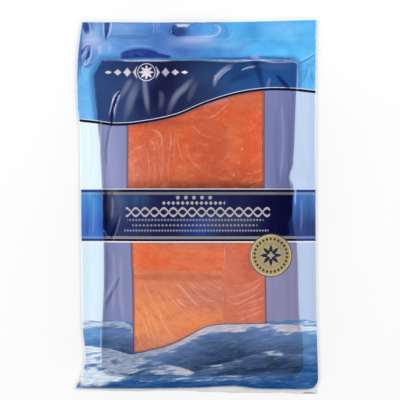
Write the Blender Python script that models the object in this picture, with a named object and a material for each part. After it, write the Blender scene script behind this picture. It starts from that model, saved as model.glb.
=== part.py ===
"""Sealed pouch of sliced smoked salmon, lying on its back with the printed side up.

One closed solid: a flat clear film pouch with a punched hang slot in its header, drawn
tight over the board and the block of slices that it holds. X runs across the pouch, +Y
towards the header, +Z up. The origin is under the middle of the footprint.
"""
import math

import bmesh
import bpy

MM = 0.001

# Outline of the pouch in mm: (y, x) down the two sides, (x, y) along the two ends.
LEFT_SIDE = (
    (-122.2, -80.8), (-114.9, -76.7), (-106.9, -74.9), (-93.6, -74.7), (-83.6, -75.9),
    (-23.6, -76.9), (36.4, -77.5), (53.1, -77.9), (66.0, -79.4), (96.4, -79.5), (121.6, -76.3),
)
RIGHT_SIDE = ((-123.1, 80.9), (-110.2, 80.7), (-63.6, 79.5), (23.1, 79.1), (109.8, 79.4), (123.1, 79.7))
HEADER_END = ((-76.3, 121.6), (12.0, 121.6), (79.7, 123.1))
FOOT_END = ((-80.8, -122.2), (2.1, -121.6), (25.5, -120.9), (43.5, -122.2), (80.8, -123.1))
FOOT_CORNER_RADIUS = 6.5

# Vacuum pack inside the pouch: a board with the slices on it, a little waisted.
PACK_LEFT = ((-113.9, -63.7), (-90.2, -63.5), (-50.2, -61.8), (9.8, -63.0), (48.4, -65.4), (96.1, -70.0))
PACK_RIGHT = (
    (-113.9, 70.9), (-90.2, 70.5), (-73.6, 68.1), (-26.9, 66.6), (-10.0, 63.8), (11.8, 64.1),
    (18.4, 62.0), (27.0, 64.0), (59.8, 65.5), (96.1, 66.8),
)
PACK_TOP = 96.1
PACK_FOOT = -113.9
PACK_CORNER_RADIUS = 8.0

# Block of slices on the board, with a slightly uneven side.
BLOCK_LEFT = -56.5
BLOCK_RIGHT = 55.5
BLOCK_TOP = 86.0
BLOCK_FOOT = -104.0
BLOCK_CORNER_RADIUS = 16.0
BLOCK_SHOULDER = 12.0
BLOCK_WOBBLE = 0.9

# Heights above the surface that the pouch lies on.
SEAL_THICKNESS = 0.9
BOARD_EDGE_HEIGHT = 3.0
EDGE_RIDGE_HEIGHT = 0.6
EDGE_RIDGE_WIDTH = 2.2
MARGIN_SLOPE = 12.0
BLOCK_HEIGHT = 8.0
FLAT_SEAL_WIDTH = 3.5

# Hang slot punched through the header.
SLOT_LENGTH = 32.0
SLOT_WIDTH = 8.0
SLOT_CENTRE = (-0.8, 116.4)
SLOT_END_SEGMENTS = 12
SLOT_HALO_HEIGHT = 0.5
SLOT_HALO_WIDTH = 7.0

# Edges of slices that show in the block: start, end, step up to the left of that line.
SLICE_EDGES = (
    ((17.5, -44.2), (-36.0, -44.2), -0.9),
    ((17.5, -20.0), (17.5, -74.0), 0.8),
    ((-48.0, 30.0), (-22.0, 45.5), -0.9),
    ((48.0, 8.0), (-46.0, -6.0), -0.8),
)
SLICE_EDGE_WIDTH = 3.0
SLICE_FADE = 26.0

# Creases in the film: start, end, half width, height (below zero for a groove).
CREASES = (
    ((-51.9, 74.4), (-57.2, 57.1), 3.2, 1.2),
    ((-57.2, 57.1), (-58.6, 42.0), 3.2, 0.9),
    ((39.5, 98.5), (44.1, 79.8), 3.4, 1.2),
    ((11.5, 79.8), (22.8, 93.5), 4.0, 0.8),
    ((66.0, 95.0), (79.0, 101.0), 3.4, 1.1),
    ((67.0, 90.0), (76.0, 82.0), 3.4, 0.8),
    ((-74.5, 116.4), (-67.9, 106.4), 3.4, 0.8),
    ((-59.9, 122.0), (-59.9, 109.8), 3.0, 0.8),
    ((-76.0, 108.0), (-68.5, 97.0), 3.4, 0.9),
    ((-3.9, 79.1), (-17.2, 62.4), 4.5, 0.6),
    ((-33.9, 81.0), (-33.2, 69.8), 3.6, 0.7),
    ((-45.9, 83.0), (-49.9, 73.1), 3.6, 0.7),
    ((-58.2, 9.0), (-58.8, -10.2), 3.4, -0.9),
    ((-52.5, -10.2), (-57.5, -22.0), 3.4, -0.9),
    ((-51.2, -48.9), (-60.5, -65.6), 3.6, -0.9),
    ((-34.0, 100.4), (-18.0, 99.6), 4.2, 1.2),
    ((-50.0, 99.8), (-34.0, 100.4), 4.2, 1.2),
    ((-66.0, -112.0), (-77.0, -118.0), 3.6, 0.7),
)

# Mesh of the upper face, with its rows closer together towards both ends.
COLUMNS = 52
ROWS = 82
END_CROWDING = 0.4


def smooth_step(value):
    """Ease from 0 to 1 as the value goes from 0 to 1."""
    value = min(max(value, 0.0), 1.0)
    return value * value * (3.0 - 2.0 * value)


def curve_value(points, station):
    """Value at a station of the smooth curve through (station, value) points."""
    last = len(points) - 2
    index = 0
    while index < last and station > points[index + 1][0]:
        index += 1
    (s0, v0), (s1, v1) = points[index], points[index + 1]
    before = points[max(index - 1, 0)]
    after = points[min(index + 2, len(points) - 1)]
    slope0 = (v1 - before[1]) / (s1 - before[0])
    slope1 = (after[1] - v0) / (after[0] - s0)
    span = s1 - s0
    t = min(max((station - s0) / span, 0.0), 1.0)
    ease = smooth_step(t)
    return (v0 + (v1 - v0) * ease
            + slope0 * span * t * (1.0 - t) ** 2
            - slope1 * span * t * t * (1.0 - t))


def right_side(y):
    """Right side of the pouch, with the rounded corner at its foot."""
    x = curve_value(RIGHT_SIDE, y)
    rise = y - FOOT_END[-1][1]
    if rise < FOOT_CORNER_RADIUS:
        drop = FOOT_CORNER_RADIUS - max(rise, 0.0)
        x -= FOOT_CORNER_RADIUS - math.sqrt(FOOT_CORNER_RADIUS ** 2 - drop ** 2)
    return x


def rounded_inset(x, y, left, right, foot, top, radius):
    """Distance in from the edge of a rectangle with round corners, below zero outside."""
    across = min(x - left, right - x)
    along = min(y - foot, top - y)
    if across < radius and along < radius:
        return radius - math.hypot(radius - across, radius - along)
    return min(across, along)


def crease_height(x, y, start, end, half_width, height):
    """Height that one crease adds: a rounded ridge that fades out at both ends."""
    run_x = end[0] - start[0]
    run_y = end[1] - start[1]
    length = math.hypot(run_x, run_y)
    along = ((x - start[0]) * run_x + (y - start[1]) * run_y) / length
    across = abs((x - start[0]) * run_y - (y - start[1]) * run_x) / length
    past_end = max(-along, along - length, 0.0)
    distance = math.hypot(across, past_end)
    return height * smooth_step(1.0 - distance / half_width)


def slice_steps(x, y):
    """Height that the edges of the slices add, fading out away from each edge."""
    height = 0.0
    for start, end, step in SLICE_EDGES:
        run_x = end[0] - start[0]
        run_y = end[1] - start[1]
        length = math.hypot(run_x, run_y)
        along = ((x - start[0]) * run_x + (y - start[1]) * run_y) / length
        left_of = ((y - start[1]) * run_x - (x - start[0]) * run_y) / length
        inside = min(along, length - along)
        side = smooth_step(0.5 + left_of / SLICE_EDGE_WIDTH) - 0.5
        fade = math.exp(-abs(left_of) / SLICE_FADE)
        height += step * side * fade * smooth_step(1.0 + inside / SLICE_EDGE_WIDTH)
    return height


def slot_halo(x, y):
    """Low swelling that the punch leaves round the hang slot."""
    half_run = (SLOT_LENGTH - SLOT_WIDTH) / 2.0
    across = max(abs(x - SLOT_CENTRE[0]) - half_run, 0.0)
    distance = math.hypot(across, y - SLOT_CENTRE[1]) - SLOT_WIDTH / 2.0
    return SLOT_HALO_HEIGHT * smooth_step(1.0 - abs(distance - 2.0) / SLOT_HALO_WIDTH)


def film_height(x, y):
    """Height of the upper film above the surface that the pouch lies on."""
    in_pouch = min(
        x - curve_value(LEFT_SIDE, y),
        right_side(y) - x,
        curve_value(HEADER_END, x) - y,
        y - curve_value(FOOT_END, x),
    )
    in_pack = rounded_inset(
        x, y, curve_value(PACK_LEFT, y), curve_value(PACK_RIGHT, y),
        PACK_FOOT, PACK_TOP, PACK_CORNER_RADIUS,
    )
    in_block = rounded_inset(
        x, y, BLOCK_LEFT, BLOCK_RIGHT, BLOCK_FOOT, BLOCK_TOP, BLOCK_CORNER_RADIUS,
    )
    in_block += BLOCK_WOBBLE * (math.sin(0.085 * y + 0.6) + math.sin(0.13 * x + 1.9))
    off_seal = smooth_step(in_pouch / FLAT_SEAL_WIDTH)
    rise = smooth_step(1.0 + min(in_pack, 0.0) / MARGIN_SLOPE)
    height = SEAL_THICKNESS + (BOARD_EDGE_HEIGHT - SEAL_THICKNESS) * rise * off_seal
    height += EDGE_RIDGE_HEIGHT * smooth_step(1.0 - abs(in_pack - 1.0) / EDGE_RIDGE_WIDTH) * off_seal
    shoulder = smooth_step(in_block / BLOCK_SHOULDER)
    height += shoulder * (BLOCK_HEIGHT + slice_steps(x, y))
    height += slot_halo(x, y)
    for start, end, half_width, rise_here in CREASES:
        height += crease_height(x, y, start, end, half_width, rise_here) * off_seal
    return max(height, SEAL_THICKNESS)


def place_on_pouch(across, along):
    """Point of the pouch at the given shares of its width and of its length."""
    along -= END_CROWDING * math.sin(2.0 * math.pi * along) / (2.0 * math.pi)
    nominal_x = LEFT_SIDE[0][1] + across * (RIGHT_SIDE[0][1] - LEFT_SIDE[0][1])
    foot = curve_value(FOOT_END, nominal_x)
    y = foot + along * (curve_value(HEADER_END, nominal_x) - foot)
    left = curve_value(LEFT_SIDE, y)
    return left + across * (right_side(y) - left), y


def film_material():
    """Clear printed film over the salmon, as one plain colour."""
    material = bpy.data.materials.new("printed_film")
    material.use_nodes = True
    shader = material.node_tree.nodes["Principled BSDF"]
    shader.inputs["Base Color"].default_value = (0.10, 0.22, 0.55, 1.0)
    shader.inputs["Roughness"].default_value = 0.18
    shader.inputs["Metallic"].default_value = 0.0
    return material


def make_pouch():
    """Filled pouch: the relief of its upper film over a flat back."""
    shape = bmesh.new()
    bmesh.ops.create_grid(shape, x_segments=COLUMNS, y_segments=ROWS, size=0.5)
    for vert in shape.verts:
        x, y = place_on_pouch(vert.co.x + 0.5, vert.co.y + 0.5)
        vert.co = (x * MM, y * MM, film_height(x, y) * MM)
    rim = [edge for edge in shape.edges if edge.is_boundary]
    wall = bmesh.ops.extrude_edge_only(shape, edges=rim)["geom"]
    for vert in (item for item in wall if isinstance(item, bmesh.types.BMVert)):
        vert.co.z = 0.0
    foot = [edge for edge in shape.edges if edge.is_boundary]
    bmesh.ops.edgeloop_fill(shape, edges=foot)
    bmesh.ops.recalc_face_normals(shape, faces=shape.faces)
    return new_object("pouch", shape)


def make_slot_cutter():
    """Round-ended punch for the hang slot, taller than the film is thick."""
    shape = bmesh.new()
    radius = SLOT_WIDTH / 2.0
    half_run = SLOT_LENGTH / 2.0 - radius
    corners = []
    for side in (1.0, -1.0):
        for step in range(SLOT_END_SEGMENTS + 1):
            angle = math.pi * (step / SLOT_END_SEGMENTS - 0.5)
            x = SLOT_CENTRE[0] + side * (half_run + radius * math.cos(angle))
            y = SLOT_CENTRE[1] + side * radius * math.sin(angle)
            corners.append(shape.verts.new((x * MM, y * MM, -5.0 * MM)))
    outline = shape.faces.new(corners)
    lifted = bmesh.ops.extrude_face_region(shape, geom=[outline])["geom"]
    for vert in (item for item in lifted if isinstance(item, bmesh.types.BMVert)):
        vert.co.z = 5.0 * MM
    bmesh.ops.recalc_face_normals(shape, faces=shape.faces)
    cutter = new_object("slot_punch", shape)
    cutter.hide_render = True
    cutter.display_type = 'WIRE'
    return cutter


def new_object(name, shape):
    """Link a finished bmesh to the scene as a named object."""
    mesh = bpy.data.meshes.new(name)
    shape.to_mesh(mesh)
    shape.free()
    item = bpy.data.objects.new(name, mesh)
    bpy.context.scene.collection.objects.link(item)
    return item


def main():
    for item in list(bpy.data.objects):
        bpy.data.objects.remove(item)
    pouch = make_pouch()
    pouch.data.materials.append(film_material())
    pouch.data.shade_smooth()
    pouch.data.set_sharp_from_angle(angle=math.radians(50.0))
    punch = pouch.modifiers.new("hang_slot", 'BOOLEAN')
    punch.operation = 'DIFFERENCE'
    punch.object = make_slot_cutter()


main()
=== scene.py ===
"""Looks of the pack of smoked salmon: printed film, board, slices, floor, light and camera."""

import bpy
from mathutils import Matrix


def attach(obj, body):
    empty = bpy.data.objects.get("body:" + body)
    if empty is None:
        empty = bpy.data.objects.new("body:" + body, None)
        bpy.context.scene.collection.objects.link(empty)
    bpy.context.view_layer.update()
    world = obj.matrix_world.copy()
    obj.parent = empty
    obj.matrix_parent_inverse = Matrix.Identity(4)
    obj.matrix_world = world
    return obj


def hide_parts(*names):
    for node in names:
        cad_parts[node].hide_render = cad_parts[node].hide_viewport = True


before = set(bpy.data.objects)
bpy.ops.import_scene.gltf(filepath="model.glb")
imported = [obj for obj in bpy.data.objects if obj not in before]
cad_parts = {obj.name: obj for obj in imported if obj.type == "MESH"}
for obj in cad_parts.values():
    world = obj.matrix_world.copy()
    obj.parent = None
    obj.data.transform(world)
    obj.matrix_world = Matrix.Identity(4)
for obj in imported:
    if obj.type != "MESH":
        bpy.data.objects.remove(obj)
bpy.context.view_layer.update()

import math

import bmesh
import bpy
import numpy as np
from bpy.props import FloatProperty, FloatVectorProperty, PointerProperty
from mathutils import Vector, noise

bl_info = {
    "name": "Smoked salmon pack",
    "version": (1, 0, 0),
    "blender": (4, 5, 0),
    "location": "3D View > Sidebar > Salmon pack",
    "description": "Models a sealed pouch of sliced smoked salmon and its studio stage",
    "category": "Add Mesh",
}

MM = 0.001
BODY = "root"
NODE = "pouch"

# The photo's frame: its px per mm, and where the middle of the pouch lies in it.
PX_PER_MM = 1.5
PHOTO_SIZE = 400.0
PHOTO_MIDDLE = (196.8, 204.65)

# Outline of the pouch in mm: (y, x) down the two sides, (x, y) along the two ends.
LEFT_SIDE = (
    (-122.2, -80.8), (-114.9, -76.7), (-106.9, -74.9), (-93.6, -74.7), (-83.6, -75.9),
    (-23.6, -76.9), (36.4, -77.5), (53.1, -77.9), (66.0, -79.4), (96.4, -79.5), (121.6, -76.3),
)
RIGHT_SIDE = ((-123.1, 80.9), (-110.2, 80.7), (-63.6, 79.5), (23.1, 79.1), (109.8, 79.4), (123.1, 79.7))
HEADER_END = ((-76.3, 121.6), (12.0, 121.6), (79.7, 123.1))
FOOT_END = ((-80.8, -122.2), (-40.0, -122.6), (2.1, -122.0), (25.5, -121.0), (43.5, -122.6), (80.8, -123.1))
FOOT_CORNER = 7.5
FOOT_LIP = (
    (-79.0, -122.6), (-60.0, -123.7), (-44.0, -124.3), (-18.0, -123.7), (9.0, -124.6), (26.0, -125.2),
    (44.0, -125.3), (60.0, -125.3), (72.0, -126.0), (80.4, -126.1),
)
# Painted shadow line under the lip's cut edge at the lower right.
LIP_SHADOW_LINE = ((302.4, 393.4), (306.0, 392.6), (311.0, 393.0), (316.4, 393.4))   # px of the photo

# Vacuum pack inside the pouch.
PACK_LEFT = ((-113.9, -63.7), (-90.2, -63.5), (-50.2, -61.8), (9.8, -63.0), (48.4, -65.4), (96.1, -70.0))
PACK_RIGHT = (
    (-113.9, 70.9), (-90.2, 70.5), (-73.6, 68.1), (-26.9, 66.6), (-10.0, 63.8), (11.8, 64.1),
    (18.4, 62.0), (27.0, 64.0), (59.8, 65.5), (96.1, 66.8),
)
PACK_TOP = 96.1
PACK_FOOT = -113.9
PACK_CORNER = 8.0
PACK_TOP_CORNER = 4.5
PACK_CHAMFER = ((-69.4, 84.6), (-63.0, 96.0))

# Block of slices on the board.
BLOCK_LEFT = -60.5
BLOCK_RIGHT = 60.0
BLOCK_TOP = 90.0
BLOCK_FOOT = -108.0
BLOCK_CORNER = 20.0
BLOCK_SHOULDER = 25.0
BLOCK_WOBBLE = 0.9
EDGE_RIDGE_WIDTH = 1.5
MARGIN_SLOPE = 12.0
FLAT_SEAL = 8.0

# Film in mm: its lowest point, its weld, the back film, the lip at the foot and the flap in the slot.
LOWEST_FILM = 0.55
WELD_HEIGHT = 0.35
BACK_HALF_SIZES = (80.8, 123.0)
BACK_REST = 0.05
BACK_LIFT = 0.3
LIP_LEFT = -79.0
LIP_LENGTH = 159.2
LIP_THICKNESS = 0.05
FLAP_GAP = 0.08
FLAP_HEIGHT = 1.1
FLAP_THICKNESS = 0.06

# Hang slot in the header.
SLOT_CENTRE = (-0.8, 116.4)
SLOT_END_SEGMENTS = 16
SLOT_HALO_HEIGHT = 0.5
SLOT_HALO_WIDTH = 7.0

# Width in metres of each softbox.
SOFTBOX_WIDTH = 0.6

# Print: the curved edge of the header's field, the band, the two windows, in mm.
HEADER_CURVE = (
    (-80.0, 57.4), (-67.2, 55.9), (-54.5, 54.3), (-38.0, 55.1), (-14.2, 59.9), (5.3, 67.9),
    (25.3, 74.3), (43.5, 77.2), (60.0, 77.7), (80.0, 76.1),
)
BAND_TOP = 10.45
BAND_FOOT = -24.6
WINDOW_LEFT = -45.9
WINDOW_RIGHT = 44.3
LOWER_WINDOW_LEFT = ((-98.0, -41.6), (-60.0, -42.0), (-24.0, -43.2))   # (y, x)
LOWER_WINDOW_RIGHT = ((-98.0, 45.8), (-60.0, 45.4), (-24.0, 44.8))
WINDOW_FOOT = (
    (-80.0, -101.0), (-42.0, -98.2), (-28.0, -95.6), (-14.0, -91.0), (-4.0, -85.6), (4.0, -81.2),
    (13.0, -78.9), (28.0, -78.4), (46.0, -78.2), (80.0, -80.0),
)
HORIZON = -77.0
SEAL_CENTRE = (49.1, -33.6)
SEAL_RADIUS = 14.1
SEAL_LOZENGES = 26.0
HEADER_STAR = (-33.5, 88.0)
HEADER_WHITE = "#E9E2E4"
STAR_PITCH = 5.325
# Rows of dots on the band: level, pitch, half length of a dot, ends of the row.
DOT_ROWS = (
    (-10.1, 2.1, 0.85, (-46.0, 44.0)),
    (-13.6, 2.5, 0.95, (-42.6, 40.0)),
    (-17.1, 1.9, 0.80, (-48.0, 47.6)),
)

# Inks of the wide fields from the pouch's left side, 0, to its right side, 1.
SKY = (
    (0.02, "#70A4E0"), (0.20, "#70A8E4"), (0.36, "#5C8ED4"), (0.46, "#5888CE"), (0.58, "#5EAEEE"),
    (0.75, "#5ABCF6"), (0.97, "#64C6FE"),
)
LOW_SKY = ((0.0, "#78C4FA"), (0.9, "#56B0F0"), (1.0, "#70CAFE"))
HEADER_OVER_BOARD = (
    (0.10, "#304C80"), (0.22, "#2C4272"), (0.36, "#1C2650"), (0.46, "#1C2650"), (0.56, "#253C66"),
    (0.68, "#214A82"), (0.82, "#20508E"),
)
BAND_OPEN = ((0.0, "#5084D4"), (0.1, "#4074CE"), (0.9, "#3C5490"), (1.0, "#2E3F80"))
BAND_LIT = ((0.0, "#5CA6E8"), (0.1, "#4E9CE6"), (0.9, "#4080CE"), (1.0, "#588CCC"))
BAND_OVER_BOARD = (
    (0.10, "#0C1A50"), (0.16, "#14225A"), (0.21, "#2C3C70"), (0.27, "#2A345E"), (0.36, "#1A2152"),
    (0.50, "#22294E"), (0.62, "#1E2852"), (0.76, "#161E4A"), (0.84, "#01033C"), (0.905, "#01033C"),
    (0.925, "#1C2E6A"),
)
# Soft glows in the band over the board: middle and half sizes in mm, strength, ink.
BAND_GLOWS = (
    ((1.0, -16.0), (11.0, 9.0), 0.7, "#2E4E9E"),
    ((-42.0, 4.0), (11.0, 6.0), 0.5, "#44649C"),
)

# Crests of the printed swells, the far ones first: (x, y) along the crest in mm, depth of the foam
# under it, how much foam there is, and how dark the water starts.
SWELLS = (
    (((-80.0, -80.5), (-66.0, -78.4), (-53.0, -77.6), (-43.0, -80.4), (-34.0, -92.0), (80.0, -160.0)),
     5.0, 0.85, 0.05),
    (((-80.0, -104.0), (-42.0, -99.5), (-14.0, -91.5), (4.0, -81.6), (28.0, -78.6), (54.0, -79.6),
      (68.0, -80.6), (80.0, -81.6)), 6.5, 1.15, 0.05),
    (((-80.0, -93.5), (-68.0, -94.5), (-56.0, -96.5), (-44.0, -99.5), (-20.0, -105.5), (12.0, -117.0),
      (80.0, -150.0)), 13.0, 0.95, 0.25),
    (((-80.0, -136.0), (-20.0, -118.0), (8.0, -108.5), (34.0, -101.0), (56.0, -97.8), (80.0, -101.0)),
     3.4, 0.22, 0.60),
    (((-80.0, -121.0), (-60.0, -116.5), (-30.0, -113.2), (0.0, -113.8), (40.0, -113.0), (80.0, -111.0)),
     3.0, 0.00, 0.80),
)

# Patches of loose foam: centre and half sizes in px of the photo, and how much foam there is.
# Below zero a patch thins the foam out.
FOAM_PATCHES = (
    ((92, 377), (20, 9), 1.05),
    ((84, 350), (16, 4), 0.90),
    ((86, 360), (14, 5), 0.80),
    ((104, 363), (12, 5), 0.60),
    ((124, 368), (16, 5), 0.75),
    ((86, 322), (12, 4), 0.60),
    ((274, 353), (10, 2.4), 0.50),
    ((222, 366), (12, 2.4), 0.42),
    ((205, 379), (60, 2.5), 0.32),
    ((222, 327), (28, 4), 0.85),
    ((283, 331), (14, 4), 0.55),
    ((306, 324), (10, 4), 0.55),
    ((112, 377), (14, 4), 0.90),
    ((186, 341), (9, 2.4), 0.35),
    ((160, 362), (18, 7), -0.70),
    ((264, 329), (14, 6), -0.50),
)

# Folds of the film: tone (above zero a painted highlight, below zero doubled dark ink with painted shade),
# half width in mm, height in mm, and points along the fold in px of the photo.
FOLDS = (
    (-1.00, 2.6, 0.00, ((84.6, 16), (86, 26), (87.4, 35))),
    (0.50, 0.7, 0.30, ((89.0, 21), (90.4, 28), (92.6, 36))),
    (-1.00, 2.3, 0.00, ((107.6, 13), (107.2, 27), (105.8, 41))),
    (0.70, 0.6, 0.25, ((103.2, 21), (103.8, 31), (104.8, 40))),
    (0.95, 0.7, 0.35, ((111.6, 21), (110.0, 31), (106.6, 40))),
    (-0.60, 0.9, 0.10, ((82.2, 40), (81.2, 56), (80.4, 76))),
    (-0.60, 0.9, 0.00, ((82.6, 22), (80.4, 44), (78.4, 66), (77.6, 86))),
    (-1.00, 1.6, 0.10, ((90, 44), (88.6, 54), (86, 64))),
    (-0.90, 1.2, 0.10, ((80.6, 56), (84.0, 48), (90.4, 44.6))),
    (0.95, 0.6, 0.35, ((91.4, 46.4), (91.2, 55), (87.8, 63.4), (82.6, 66))),
    (0.75, 0.6, 0.35, ((81.4, 50), (85.0, 45.4), (91.0, 43.4))),
    (0.60, 0.6, 0.25, ((81.0, 60), (84.2, 54), (88.6, 51))),
    (-0.50, 0.9, 0.30, ((80, 63), (86, 66.6), (93, 64))),
    (0.60, 0.9, 0.30, ((81, 72), (86, 62), (92, 57))),
    (0.45, 0.8, 0.20, ((82, 44), (88, 40), (97, 41))),
    (-1.00, 4.4, 0.30, ((119.4, 57.0), (126, 55.2), (134, 53.8), (143, 53.4), (153, 54.6), (160, 56.0))),
    (-1.00, 2.0, 0.10, ((146, 54.0), (158, 55.6), (172, 57.6))),
    (0.55, 0.7, 0.25, ((116, 60.0), (130, 61.6), (143, 61.2), (158, 61.4), (176, 61.2))),
    (0.16, 0.8, 0.20, ((121, 47.8), (138, 46.2), (156, 47.8))),
    (-1.00, 1.7, 0.00, ((121.0, 88), (116.4, 98), (112.8, 110), (111.2, 130))),
    (0.80, 0.55, 0.15, ((121.0, 90), (116.0, 95.6), (111.8, 106), (109.0, 118))),
    (0.35, 0.6, 0.10, ((122.6, 92), (119.4, 99), (116.0, 109), (114.2, 122))),
    (-0.45, 1.3, 0.15, ((110.4, 124), (107.6, 138), (106.0, 152), (106.4, 168))),
    (0.22, 1.0, 0.10, ((113.4, 124), (110.4, 138), (109.2, 152), (110.0, 168))),
    (0.17, 3.0, 0.10, ((132.4, 78), (127.4, 87), (119.6, 101))),
    (0.20, 4.2, 0.15, ((139.6, 78), (132, 99), (124.4, 124))),
    (0.24, 2.6, 0.15, ((143.6, 74), (146.0, 93), (149.0, 116))),
    (0.10, 2.8, 0.05, ((160, 90), (162, 99), (160.0, 112))),
    (0.26, 3.2, 0.20, ((194.6, 77), (185, 88), (175.6, 98), (167, 118))),
    (0.08, 3.0, 0.10, ((198, 80), (192, 92), (188, 104))),
    (0.32, 2.3, 0.30, ((214.0, 89), (216.0, 79), (222.8, 71), (234, 64))),
    (0.75, 0.5, 0.20, ((214.2, 87), (214.8, 80), (219.6, 73.4), (227, 68.0))),
    (0.60, 0.5, 0.20, ((217.0, 82), (221.0, 76), (226.8, 71), (232.6, 67.4))),
    (0.55, 0.9, 0.20, ((240.6, 70.8), (248, 68), (256, 66.8))),
    (-0.64, 2.7, 0.00, ((253.4, 56), (257.4, 68), (263.0, 90))),
    (-0.60, 1.4, 0.00, ((247.0, 59.6), (253.0, 60.0), (259.0, 61.0))),
    (-0.85, 1.8, 0.00, ((276, 75), (283, 82.6), (291, 91.4))),
    (-0.35, 2.6, 0.00, ((228, 84), (238, 78), (250, 76))),
    (0.14, 1.6, 0.10, ((267, 90), (268, 84), (270, 78))),
    (-0.55, 0.9, 0.00, ((196, 58.0), (232, 58.8), (262, 57.4), (296, 59.6))),
    (0.50, 0.7, 0.20,
     ((194, 60.6), (232, 62.2), (252, 60.8), (261, 60.8), (274, 62.8), (294, 62.4), (298, 66))),
    (0.60, 0.6, 0.20, ((297.6, 64), (297.6, 81), (296.6, 92))),
    (0.45, 0.7, 0.20, ((296.4, 90), (296.8, 120), (295.8, 150), (295.0, 180))),
    (-0.55, 0.8, 0.00, ((298.6, 64), (307, 59.6), (315.6, 54.2))),
    (0.50, 0.6, 0.30, ((299, 62), (307, 57.6), (315, 52.4))),
    (-0.30, 0.7, 0.00, ((302.6, 84), (306.0, 72), (308.4, 63))),
    (-0.26, 0.7, 0.00, ((309.0, 62), (311.4, 72), (312.0, 84))),
    (0.26, 0.6, 0.20, ((304.6, 83), (308.8, 74), (310.4, 66))),
    (-0.22, 1.0, 0.00, ((299.6, 70), (300.6, 78), (300.0, 88))),
    (0.40, 0.5, 0.15, ((153.5, 20), (153.8, 34))),
    (0.36, 0.5, 0.15, ((156.7, 20), (157.0, 33))),
    (0.26, 0.5, 0.15, ((159.3, 20), (159.6, 33))),
    (0.36, 3.4, 0.10, ((174, 39.6), (196, 40.2), (218, 38.6))),
    (0.16, 0.5, 0.10, ((281, 21.6), (286, 28), (300, 38.6))),
    (0.95, 0.9, 0.10, ((192, 36.3), (212, 36.1), (218.0, 33.6), (219.9, 30.0), (218.2, 26.4), (212, 24.0))),
    (0.30, 0.8, 0.30, ((224.6, 41), (230.6, 38), (233.0, 31))),
    (-0.25, 1.0, 0.00, ((224, 25), (227, 31), (225, 37))),
    (-0.60, 0.7, 0.10, ((166, 22.6), (184, 22.2), (200, 22.4))),
    (-0.80, 0.6, 0.10, ((204, 22.4), (214, 22.4), (224, 22.4))),
    (0.14, 0.6, 0.10, ((240, 40), (266, 39.2), (302, 40.0))),
    (0.16, 0.7, 0.15, ((112, 34), (128, 33.6), (150, 34.6))),
    (-0.20, 1.6, 0.10, ((108, 36), (126, 37.0), (152, 38))),
    (-1.00, 2.6, 0.00, ((105.6, 191), (107.4, 206), (106.6, 226))),
    (-1.00, 1.4, 0.00, ((113.0, 191), (110.4, 204), (107.4, 224))),
    (-1.00, 1.5, 0.00, ((119.4, 213), (115.2, 227), (110.8, 239))),
    (-0.80, 1.6, 0.00, ((104.4, 214), (104.4, 228), (105.2, 239))),
    (0.16, 1.2, 0.00, ((112.2, 196), (113.0, 206), (112.0, 220))),
    (0.14, 0.7, 0.00, ((103.6, 229), (106.0, 234), (106.6, 240))),
    (0.18, 0.7, 0.00, ((121.6, 214), (118.0, 227), (113.0, 242))),
    (-0.55, 1.3, 0.00, ((121.4, 275), (113.6, 290), (105.6, 306))),
    (0.24, 1.3, 0.05, ((118.0, 274), (110.2, 289), (103.2, 302))),
    (-0.20, 2.0, 0.00, ((106.6, 246), (107.6, 268), (105.6, 292))),
    (0.18, 1.7, 0.00, ((113.0, 246), (114.6, 280), (112.0, 318))),
    (0.16, 2.2, 0.00, ((122.0, 248), (121.0, 290), (124.0, 320))),
    (0.16, 1.6, 0.15, ((281.0, 100), (283.0, 140), (280.0, 182))),
    (-0.16, 2.4, 0.05, ((276.0, 106), (275.6, 150), (277.0, 186))),
    (-0.18, 1.2, 0.05, ((288.6, 100), (289.6, 140), (288.0, 186))),
    (0.75, 0.7, 0.25, ((295.4, 176), (295.4, 190), (294.4, 208))),
    (-0.40, 0.6, 0.00, ((315.9, 20), (316.0, 50), (315.6, 84))),
    (-0.35, 0.6, 0.00, ((206, 22.2), (260, 21.0), (315, 19.8))),
    (-0.30, 0.6, 0.00, ((84, 21.8), (120, 22.6), (170, 22.4))),
    (0.50, 0.7, 0.20, ((291.0, 168), (289.6, 178), (291.6, 190))),
    (0.55, 0.8, 0.15, ((101.6, 118), (100.6, 150), (102.2, 188))),
    (0.45, 0.8, 0.15, ((102.6, 246), (103.0, 284), (102.4, 322))),
    (0.40, 0.8, 0.15, ((101.6, 324), (101.2, 345), (102.4, 368))),
    (0.22, 1.6, 0.15, ((302.0, 248), (300.6, 285), (301.6, 322))),
    (-0.75, 0.9, 0.00, ((78, 387.2), (136, 387.4), (200, 386.6), (235, 385.2), (262, 387.4), (311, 388.4))),
    (-0.45, 0.7, 0.00, ((311, 388.4), (315, 386.4), (317.4, 380), (317.6, 368))),
    (0.18, 2.0, 0.15, ((90.0, 122), (91.4, 150), (89.6, 186))),
    (0.15, 2.0, 0.15, ((306.0, 106), (304.6, 145), (306.6, 184))),
    (-0.18, 1.6, 0.15, ((86.6, 192), (88.0, 212), (86.6, 238))),
    (0.18, 1.2, 0.15, ((93.6, 194), (94.0, 214), (93.0, 238))),
    (-0.16, 1.4, 0.15, ((307.6, 194), (308.6, 216), (307.0, 236))),
    (0.16, 1.2, 0.15, ((301.0, 196), (301.4, 214), (300.4, 234))),
)
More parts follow.
